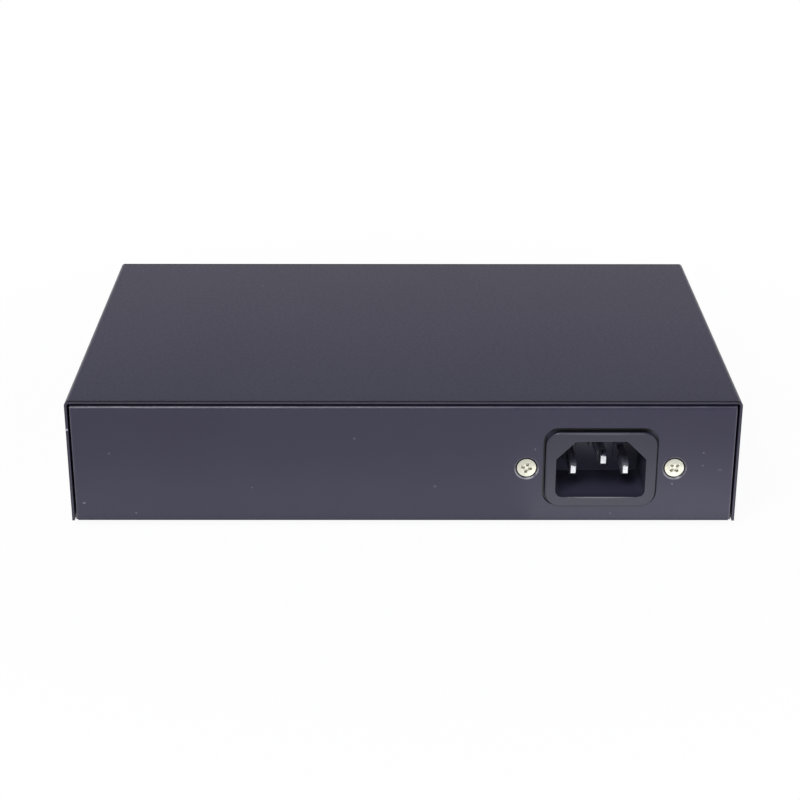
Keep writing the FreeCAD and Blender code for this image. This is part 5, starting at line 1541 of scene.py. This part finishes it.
@dataclass
class MainsInlet:
    """The moulded mains inlet: shroud, ears, cavity with collars, and three pins.

    Attributes:
        leans: how far each pin's tip leans from its middle line.
        overlap: how far shapes reach into each other where they join.
    """

    shroud_corner: float = 4 * MM
    shroud_fillet: float = 0.55 * MM
    ear_thickness: float = 3 * MM
    ear_corner: float = 3 * MM
    ear_hole: float = 3.9 * MM
    body_width: float = 28 * MM
    body_height: float = 20 * MM
    cavity_width: float = 24.2 * MM
    cavity_height: float = 16.4 * MM
    cavity_depth: float = 17.5 * MM
    cavity_chamfer: float = 5.2 * MM
    cavity_corner: float = 2 * MM
    mouth_edge: float = 0.36 * MM
    collar_width: float = 3.6 * MM
    collar_height: float = 5.6 * MM
    collar_corner: float = 0.9 * MM
    collar_sink: float = 0.4 * MM
    collar_rise: float = 0.8 * MM
    pin_width: float = 2 * MM
    pin_height: float = 4 * MM
    pin_edge: float = 0.18 * MM
    taper: float = 1.4 * MM
    tip_width: float = 1.5 * MM
    tip_height: float = 2.2 * MM
    tail_width: float = 0.8 * MM
    tail_height: float = 4.8 * MM
    tail: float = 8 * MM
    leans: tuple[tuple[str, Place], ...] = (
        ("inlet_line_blade", (0, 0, -0.2 * MM)),
        ("inlet_neutral_blade", (-0.25 * MM, 0, -0.2 * MM)),
        ("inlet_earth_blade", (-0.85 * MM, 0, -0.25 * MM)),
    )
    overlap: float = 0.5 * MM

    def build(self, dresser: Dresser) -> None:
        """Builds the inlet in place of its plain solids.

        Args:
            dresser: gives the pieces their finish.
        """
        low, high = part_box("inlet_housing")
        middle = middle_of("inlet_housing")
        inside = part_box("chassis_base")[1].y - SheetMetal.sheet
        ear_back = inside - self.ear_thickness
        housing = add_block("inlet_moulding", (low.x, ear_back, low.z), (high.x, inside, high.z))
        round_edges(housing, along(1), self.ear_corner, 10)
        shroud = add_bar("shroud", middle, SHROUD_WIDTH, SHROUD_HEIGHT, inside - self.overlap, high.y)
        round_edges(shroud, along(1), self.shroud_corner, 10)
        round_edges(shroud, at(1, high.y), self.shroud_fillet, 4)
        unite(housing, shroud)
        unite(housing, add_bar("back_body", middle, self.body_width, self.body_height, low.y,
                               ear_back + self.overlap))
        floor = high.y - self.cavity_depth
        cut(housing, self.cavity(middle, floor, high.y + MM))
        for x in round_pair("inlet_screws")[:2]:
            cut(housing, add_cone("ear_hole", (x, inside + MM, middle.z), (0, -1, 0), 2 * self.ear_thickness,
                                  self.ear_hole))
        for node, _ in self.leans:
            collar = add_bar("collar", middle_of(node), self.collar_width, self.collar_height,
                             floor - self.collar_sink, floor + self.collar_rise)
            round_edges(collar, along(1), self.collar_corner, 5)
            unite(housing, collar)
        soften(housing, self.mouth_edge, 3)
        dresser.piece(housing, "inlet_plastic", "inlet_housing")
        for node, lean in self.leans:
            self.pin(node, Vector(lean), dresser)

    def cavity(self, middle: Vector, floor: float, mouth: float) -> Object:
        """Shapes the hollow: cut-off upper corners, round lower ones.

        Args:
            middle: the inlet's middle.
            floor: where its back wall lies along Y.
            mouth: where it ends in front.

        Returns:
            The closed tool, for a boolean cut.
        """
        hollow = add_bar("cavity", middle, self.cavity_width, self.cavity_height, floor, mouth)
        bottom = middle.z - self.cavity_height / 2
        round_edges(hollow, lambda ends: along(1)(ends) and ends[0].z > middle.z, self.cavity_chamfer, 1)
        round_edges(hollow, lambda ends: along(1)(ends) and at(2, bottom)(ends), self.cavity_corner, 6)
        return hollow

    def step(self, pin: Object, level: float, reach: float, width: float, height: float) -> None:
        """Extrudes a pin's end to another size and leaves it open for editing.

        Args:
            pin: the pin.
            level: where the end lies along Y.
            reach: how far it is extruded along +Y.
            width: its new width.
            height: its new height.
        """
        select(pin, "faces", at(1, level))
        extrude(0, reach, 0)
        bpy.ops.transform.resize(value=(width / self.pin_width, 1, height / self.pin_height))

    def pin(self, node: str, lean: Vector, dresser: Dresser) -> None:
        """Models one pin: tab behind, blade, tapered and rounded tip, leaning a little as the real ones do.

        Args:
            node: the CAD node that it stands for.
            lean: how far its tip leans.
            dresser: gives the pieces their finish.
        """
        low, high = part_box(node)
        start, end = low.y + self.tail, high.y - self.taper
        pin = add_bar(f"{node}_pin", middle_of(node), self.pin_width, self.pin_height, start, end)
        self.step(pin, end, self.taper, self.tip_width, self.tip_height)
        close()
        self.step(pin, start, 0, self.tail_width, self.tail_height)
        extrude(0, -self.tail, 0)
        close()
        soften(pin, self.pin_edge, 3)
        for corner in pin.data.vertices:
            corner.co += lean * max(0.0, (corner.co.y - start) / (high.y - start))
        dresser.piece(pin, "pin_metal", node)


@dataclass
class Sockets:
    """The network sockets: folded tin shields, black mouldings, lamp windows, and the status lamps.

    Attributes:
        rows: each row's name and number of ports.
        skin: thickness of the tin.
        lamp_dome: rounding of a status lamp's front, as a share of its radius.
        overlap: how far shapes reach into each other where they join.
    """

    rows: tuple[tuple[str, int], ...] = (("lan_jack_left", 4), ("lan_jack_right", 4), ("uplink_jack", 2))
    pitch: float = 13.97 * MM
    end_wall: float = 1.1 * MM
    skin: float = 0.25 * MM
    port_width: float = 11.8 * MM
    port_height: float = 7 * MM
    port_depth: float = 13 * MM
    port_floor: float = 3.6 * MM
    latch_width: float = 6.2 * MM
    latch_height: float = 1.5 * MM
    notch_width: float = 3.4 * MM
    notch_height: float = 1.2 * MM
    window_width: float = 3.4 * MM
    window_height: float = 1.8 * MM
    window_length: float = 5 * MM
    window_offset: float = 4.6 * MM
    window_rise: float = 0.25 * MM
    tin_edge: float = 0.07 * MM
    plastic_edge: float = 0.12 * MM
    lens_edge: float = 0.25 * MM
    lamp_dome: float = 0.75
    overlap: float = 0.1 * MM

    def build(self, dresser: Dresser) -> None:
        """Builds each row, the lamp windows and the status lamps in place of their plain solids.

        Args:
            dresser: gives the pieces their finish.
        """
        for row, count in self.rows:
            self.build_moulding(row, count, dresser)
            self.build_shield(row, count, dresser)
            dresser.node(f"{row}_contacts", "contact_gold")
        for colour, side in (("green", -1), ("amber", 1)):
            self.build_lenses(colour, side, dresser)
        self.status_lamps(dresser)

    def first_port(self, row: str) -> Vector:
        """Middle of a row's first port, at its floor and at the shield's front."""
        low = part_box(f"{row}_shield")[0]
        return Vector((low.x + self.end_wall + self.pitch / 2, low.y, low.z + self.port_floor))

    def ports(self, row: str, count: int, end: float) -> Object:
        """Shapes a row of stepped port openings.

        Args:
            row: the row's name.
            count: number of ports.
            end: how far the openings reach along +Y.

        Returns:
            The closed tool, for a boolean cut.
        """
        place = self.first_port(row)
        floor, latch = place.z, place.z - self.latch_height
        steps = ((self.port_width, floor, floor + self.port_height),
                 (self.latch_width, latch, floor + self.overlap),
                 (self.notch_width, latch - self.notch_height, floor + self.overlap))
        blocks = [add_block("port", (place.x - width / 2, place.y - MM, bottom),
                            (place.x + width / 2, end, top)) for width, bottom, top in steps]
        mouth = blocks[0]
        for step in blocks[1:]:
            unite(mouth, step)
        repeat(mouth, count, self.pitch, 0, 0)
        return mouth

    def window(self, name: str, row: str, side: int, start: float, end: float) -> Object:
        """Shapes a row's first lamp window.

        Args:
            name: the object's name.
            row: the row's name.
            side: -1 for the left window, 1 for the right one.
            start: how far it stands out of the shield's front.
            end: where it ends along +Y.

        Returns:
            The new block.
        """
        place = self.first_port(row)
        middle = place.x + side * self.window_offset
        bottom = place.z + self.port_height + self.window_rise
        return add_block(name, (middle - self.window_width / 2, place.y - start, bottom),
                         (middle + self.window_width / 2, end, bottom + self.window_height))

    def cut_windows(self, obj: Object, row: str, count: int, end: float) -> None:
        """Cuts both windows of every port of a row.

        Args:
            obj: the moulding or shield.
            row: the row's name.
            count: number of ports.
            end: how far the windows reach along +Y.
        """
        for side in (-1, 1):
            window = self.window("window", row, side, MM, end)
            repeat(window, count, self.pitch, 0, 0)
            cut(obj, window)

    def build_moulding(self, row: str, count: int, dresser: Dresser) -> None:
        """Builds a row's moulding.

        Args:
            row: the row's name.
            count: number of ports.
            dresser: gives the pieces their finish.
        """
        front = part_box(f"{row}_shield")[0].y
        housing = add_block(f"{row}_moulding", *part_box(f"{row}_housing"))
        cut(housing, self.ports(row, count, front + self.port_depth))
        self.cut_windows(housing, row, count, front + self.window_length)
        soften(housing, self.plastic_edge)
        dresser.piece(housing, "jack_plastic", f"{row}_housing")

    def build_shield(self, row: str, count: int, dresser: Dresser) -> None:
        """Builds a row's tin shield, open underneath, with its mouths and windows.

        Args:
            row: the row's name.
            count: number of ports.
            dresser: gives the pieces their finish.
        """
        low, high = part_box(f"{row}_shield")
        shield = add_block(f"{row}_tin", low, high)
        cut(shield, add_block("hollow", (low.x + self.skin, low.y + self.skin, low.z - MM),
                              (high.x - self.skin, high.y - self.skin, high.z - self.skin)))
        inside = low.y + self.skin + self.overlap
        cut(shield, self.ports(row, count, inside))
        self.cut_windows(shield, row, count, inside)
        soften(shield, self.tin_edge)
        dresser.piece(shield, "jack_tin", f"{row}_shield")

    def build_lenses(self, colour: str, side: int, dresser: Dresser) -> None:
        """Builds the lenses of one colour, one per port, in one piece.

        Args:
            colour: green or amber.
            side: -1 for the left windows, 1 for the right ones.
            dresser: gives the pieces their finish.
        """
        lenses = []
        for row, count in self.rows:
            front = self.first_port(row).y
            lens = self.window("lens", row, side, 0, front + self.window_length)
            round_edges(lens, at(1, front), self.lens_edge, 3)
            repeat(lens, count, self.pitch, 0, 0)
            lenses.append(lens)
        node = f"port_lamps_{colour}"
        dresser.piece(join(lenses, f"{node}_lenses"), f"lamp_{colour}", node)

    def status_lamps(self, dresser: Dresser) -> None:
        """Builds the two round lamps with domed fronts.

        Args:
            dresser: gives the pieces their finish.
        """
        low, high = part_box("status_lamps")
        left, right, radius = round_pair("status_lamps")
        for number, x in enumerate((left, right), start=1):
            start = (x, high.y, (low.z + high.z) / 2)
            lamp = add_cone(f"status_lamp_{number}", start, (0, -1, 0), high.y - low.y, radius)
            round_edges(lamp, at(1, low.y), radius * self.lamp_dome, 6)
            dresser.piece(lamp, "lamp_green", "status_lamps")


@dataclass
class Feet:
    """Four rubber feet with a rounded rim and a dished sole.

    Attributes:
        radius: radius at the sole.
        draft: share of that radius at the case.
    """

    radius: float = 6 * MM
    draft: float = 0.97
    rim: float = 0.55 * MM
    dish_inset: float = 1.6 * MM
    dish_depth: float = 0.35 * MM

    def build(self, dresser: Dresser) -> None:
        """Builds the feet in place of their plain solids.

        Args:
            dresser: gives the pieces their finish.
        """
        low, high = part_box("rubber_feet")
        foot = add_cone("foot", (0, 0, high.z), (0, 0, -1), high.z - low.z, self.radius * self.draft,
                        self.radius, 64)
        select(foot, "faces", at(2, low.z))
        bpy.ops.mesh.inset(thickness=self.dish_inset, depth=0)
        bpy.ops.mesh.inset(thickness=self.dish_depth, depth=-self.dish_depth)
        close()
        inner = self.radius - 0.1 * MM
        round_edges(foot, lambda ends: at(2, low.z)(ends) and ends[0].xy.length > inner, self.rim, 4)
        places = [(x, y) for x in (low.x + self.radius, high.x - self.radius)
                  for y in (low.y + self.radius, high.y - self.radius)]
        for number, (x, y) in enumerate(places, start=1):
            placed = moved_copy(foot, f"rubber_foot_{number}", Matrix.Translation((x, y, 0)))
            dresser.piece(placed, "foot_rubber", "rubber_feet")
        bpy.data.objects.remove(foot)


# Studio.


@dataclass(frozen=True)
class Lamp:
    """A soft area lamp that the camera doesn't see.

    Attributes:
        name: the object's name.
        place: where it hangs or lies.
        target: what it faces.
        width: its size across.
        depth: its other size.
        power: its power in watts.
    """

    name: str
    place: Place
    target: Place
    width: float
    depth: float
    power: float

    def add(self) -> None:
        """Adds the lamp to the scene."""
        data = bpy.data.lights.new(self.name, "AREA")
        data.energy = self.power
        data.shape = "RECTANGLE"
        data.size = self.width
        data.size_y = self.depth
        lamp = bpy.data.objects.new(self.name, data)
        lamp.visible_camera = False
        bpy.context.scene.collection.objects.link(lamp)
        aim = (Vector(self.target) - Vector(self.place)).to_track_quat("-Z", "Y")
        lamp.matrix_world = Matrix.Translation(self.place) @ aim.to_matrix().to_4x4()


@dataclass
class Studio:
    """Camera at the photograph's viewing angle, pale floor and soft lights.

    Attributes:
        camera_place: where the camera stands.
        target: what it looks at.
        roll: how far it leans, in degrees.
        lens: focal length in millimetres on a sensor 36 mm wide.
        sensor: width of that sensor.
        floor_half: half the side of the floor.
        floor_tone: plain grey of the floor.
        shadow_start, shadow_end: distances from the middle between which the floor's shadow fades out.
        shadow_white: how white the floor looks inside them.
        overhead: colour of the surroundings overhead.
        overhead_start, overhead_end: heights of direction between which it takes over from white.
        lamps: a key lamp over the case, a fill beside it, and two strips on the table before its rear.
    """

    camera_place: Place = (2.51 * MM, 511.84 * MM, 230.04 * MM)
    target: Place = (0.96 * MM, 57 * MM, 37.81 * MM)
    roll: float = 0.101
    lens: float = 83.508
    sensor: float = 36.0
    floor_half: float = 4.0
    floor_tone: float = 0.96
    shadow_start: float = 0.1
    shadow_end: float = 0.24
    shadow_white: float = 0.95
    overhead: Colour = (0.1, 0.09, 0.19)
    overhead_start: float = 0.25
    overhead_end: float = 0.4
    lamps: tuple[Lamp, ...] = (
        Lamp("key", (0.25, 0.75, 1.0), (0, 0, 0), 0.6, 0.6, 12.5),
        Lamp("fill", (-0.4, 0.36, 0.1), (-0.08, 0.057, 0.01), 0.25, 0.25, 0.3),
        Lamp("table", (0, 0.076, 0.0004), (0, 0.076, 1.0), 0.2, 0.03, 0.0085),
        Lamp("table_right", (-0.07, 0.08, 0.0006), (-0.07, 0.08, 1.0), 0.07, 0.04, 0.0052),
    )

    def build(self) -> None:
        """Builds the studio."""
        self.add_camera()
        self.add_floor()
        self.light_world()
        for lamp in self.lamps:
            lamp.add()
        bpy.context.scene.view_settings.view_transform = "Standard"

    def add_camera(self) -> None:
        """Adds the camera."""
        data = bpy.data.cameras.new("photo_camera")
        data.sensor_width = self.sensor
        data.lens = self.lens
        camera = bpy.data.objects.new("photo_camera", data)
        bpy.context.scene.collection.objects.link(camera)
        place = Vector(self.camera_place)
        aim = (Vector(self.target) - place).to_track_quat("-Z", "Y")
        lean = Quaternion((0, 0, 1), math.radians(self.roll))
        camera.matrix_world = Matrix.Translation(place) @ (aim @ lean).to_matrix().to_4x4()
        bpy.context.scene.camera = camera

    def add_floor(self) -> None:
        """Adds the pale floor: white to the camera and in mirrors, with a faint shadow."""
        bpy.ops.object.select_all(action="DESELECT")
        bpy.ops.mesh.primitive_plane_add(size=2 * self.floor_half, location=(0, 0, 0))
        floor = name_new("floor")
        material = bpy.data.materials.new("floor_white")
        shade = start_tree(material)
        path = shade.node("ShaderNodeLightPath").outputs
        mirrored = shade.math("MAXIMUM", path["Is Glossy Ray"], path["Is Transmission Ray"])
        seen = shade.math("MAXIMUM", path["Is Camera Ray"], mirrored)
        away = shade.vector("LENGTH", shade.node("ShaderNodeTexCoord").outputs["Object"])
        faded = shade.ramp(away, self.shadow_start, self.shadow_end, self.shadow_white, 1.0)
        matt = shade.node("ShaderNodeBsdfDiffuse", {"Color": (*[self.floor_tone] * 3, 1.0)})
        white = shade.node("ShaderNodeEmission", {"Color": (1.0, 1.0, 1.0, 1.0), "Strength": 1.0})
        surface = shade.node("ShaderNodeMixShader", {0: shade.times(seen, faded), 1: matt.outputs[0],
                                                     2: white.outputs[0]})
        shade.node("ShaderNodeOutputMaterial", {"Surface": surface.outputs[0]})
        floor.data.materials.append(material)
        floor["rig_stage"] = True

    def light_world(self) -> None:
        """Lights the surroundings: white at the horizon, darker overhead."""
        world = bpy.data.worlds.new("studio")
        bpy.context.scene.world = world
        shade = start_tree(world)
        height = shade.split(shade.node("ShaderNodeTexCoord").outputs["Generated"])[2]
        risen = shade.ramp(height, self.overhead_start, self.overhead_end)
        tone = shade.mix(risen, (1.0, 1.0, 1.0, 1.0), (*self.overhead, 1.0))
        sky = shade.node("ShaderNodeBackground", {"Color": tone, "Strength": 1.0})
        shade.node("ShaderNodeOutputWorld", {"Surface": sky.outputs[0]})


def dress_inside(dresser: Dresser) -> None:
    """Gives every node that stays as it is the finish of its own slot.

    Args:
        dresser: gives the pieces their finish.
    """
    replaced = {node for obj in bpy.data.objects for node in obj.get("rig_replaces", [])}
    slots = {part["node"]: part["material_slot"] for part in frame["record"]["subparts"]}
    for node, slot in slots.items():
        if node not in replaced:
            dresser.node(node, slot)


def write_sizes() -> None:
    """Gathers the box of the solids and the box of the dressed model as plain lists, and writes nothing."""
    boxes = {"cad": CAD_BOX, "visual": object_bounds()}
    plain = {name: [list(corner) for corner in box] for name, box in boxes.items()}


def main() -> None:
    """Builds the studio and every sub-assembly in order."""
    logging.basicConfig(level=logging.INFO, format="%(name)s: %(message)s")
    dresser = Dresser()
    Studio().build()
    for assembly in (CaseCover(), BaseTray(), MainsInlet(), ScrewSets(), Sockets(), Feet()):
        assembly.build(dresser)
    dress_inside(dresser)
    log.info("%d new pieces", dresser.count)
    write_sizes()


if __name__ == "__main__":
    main()
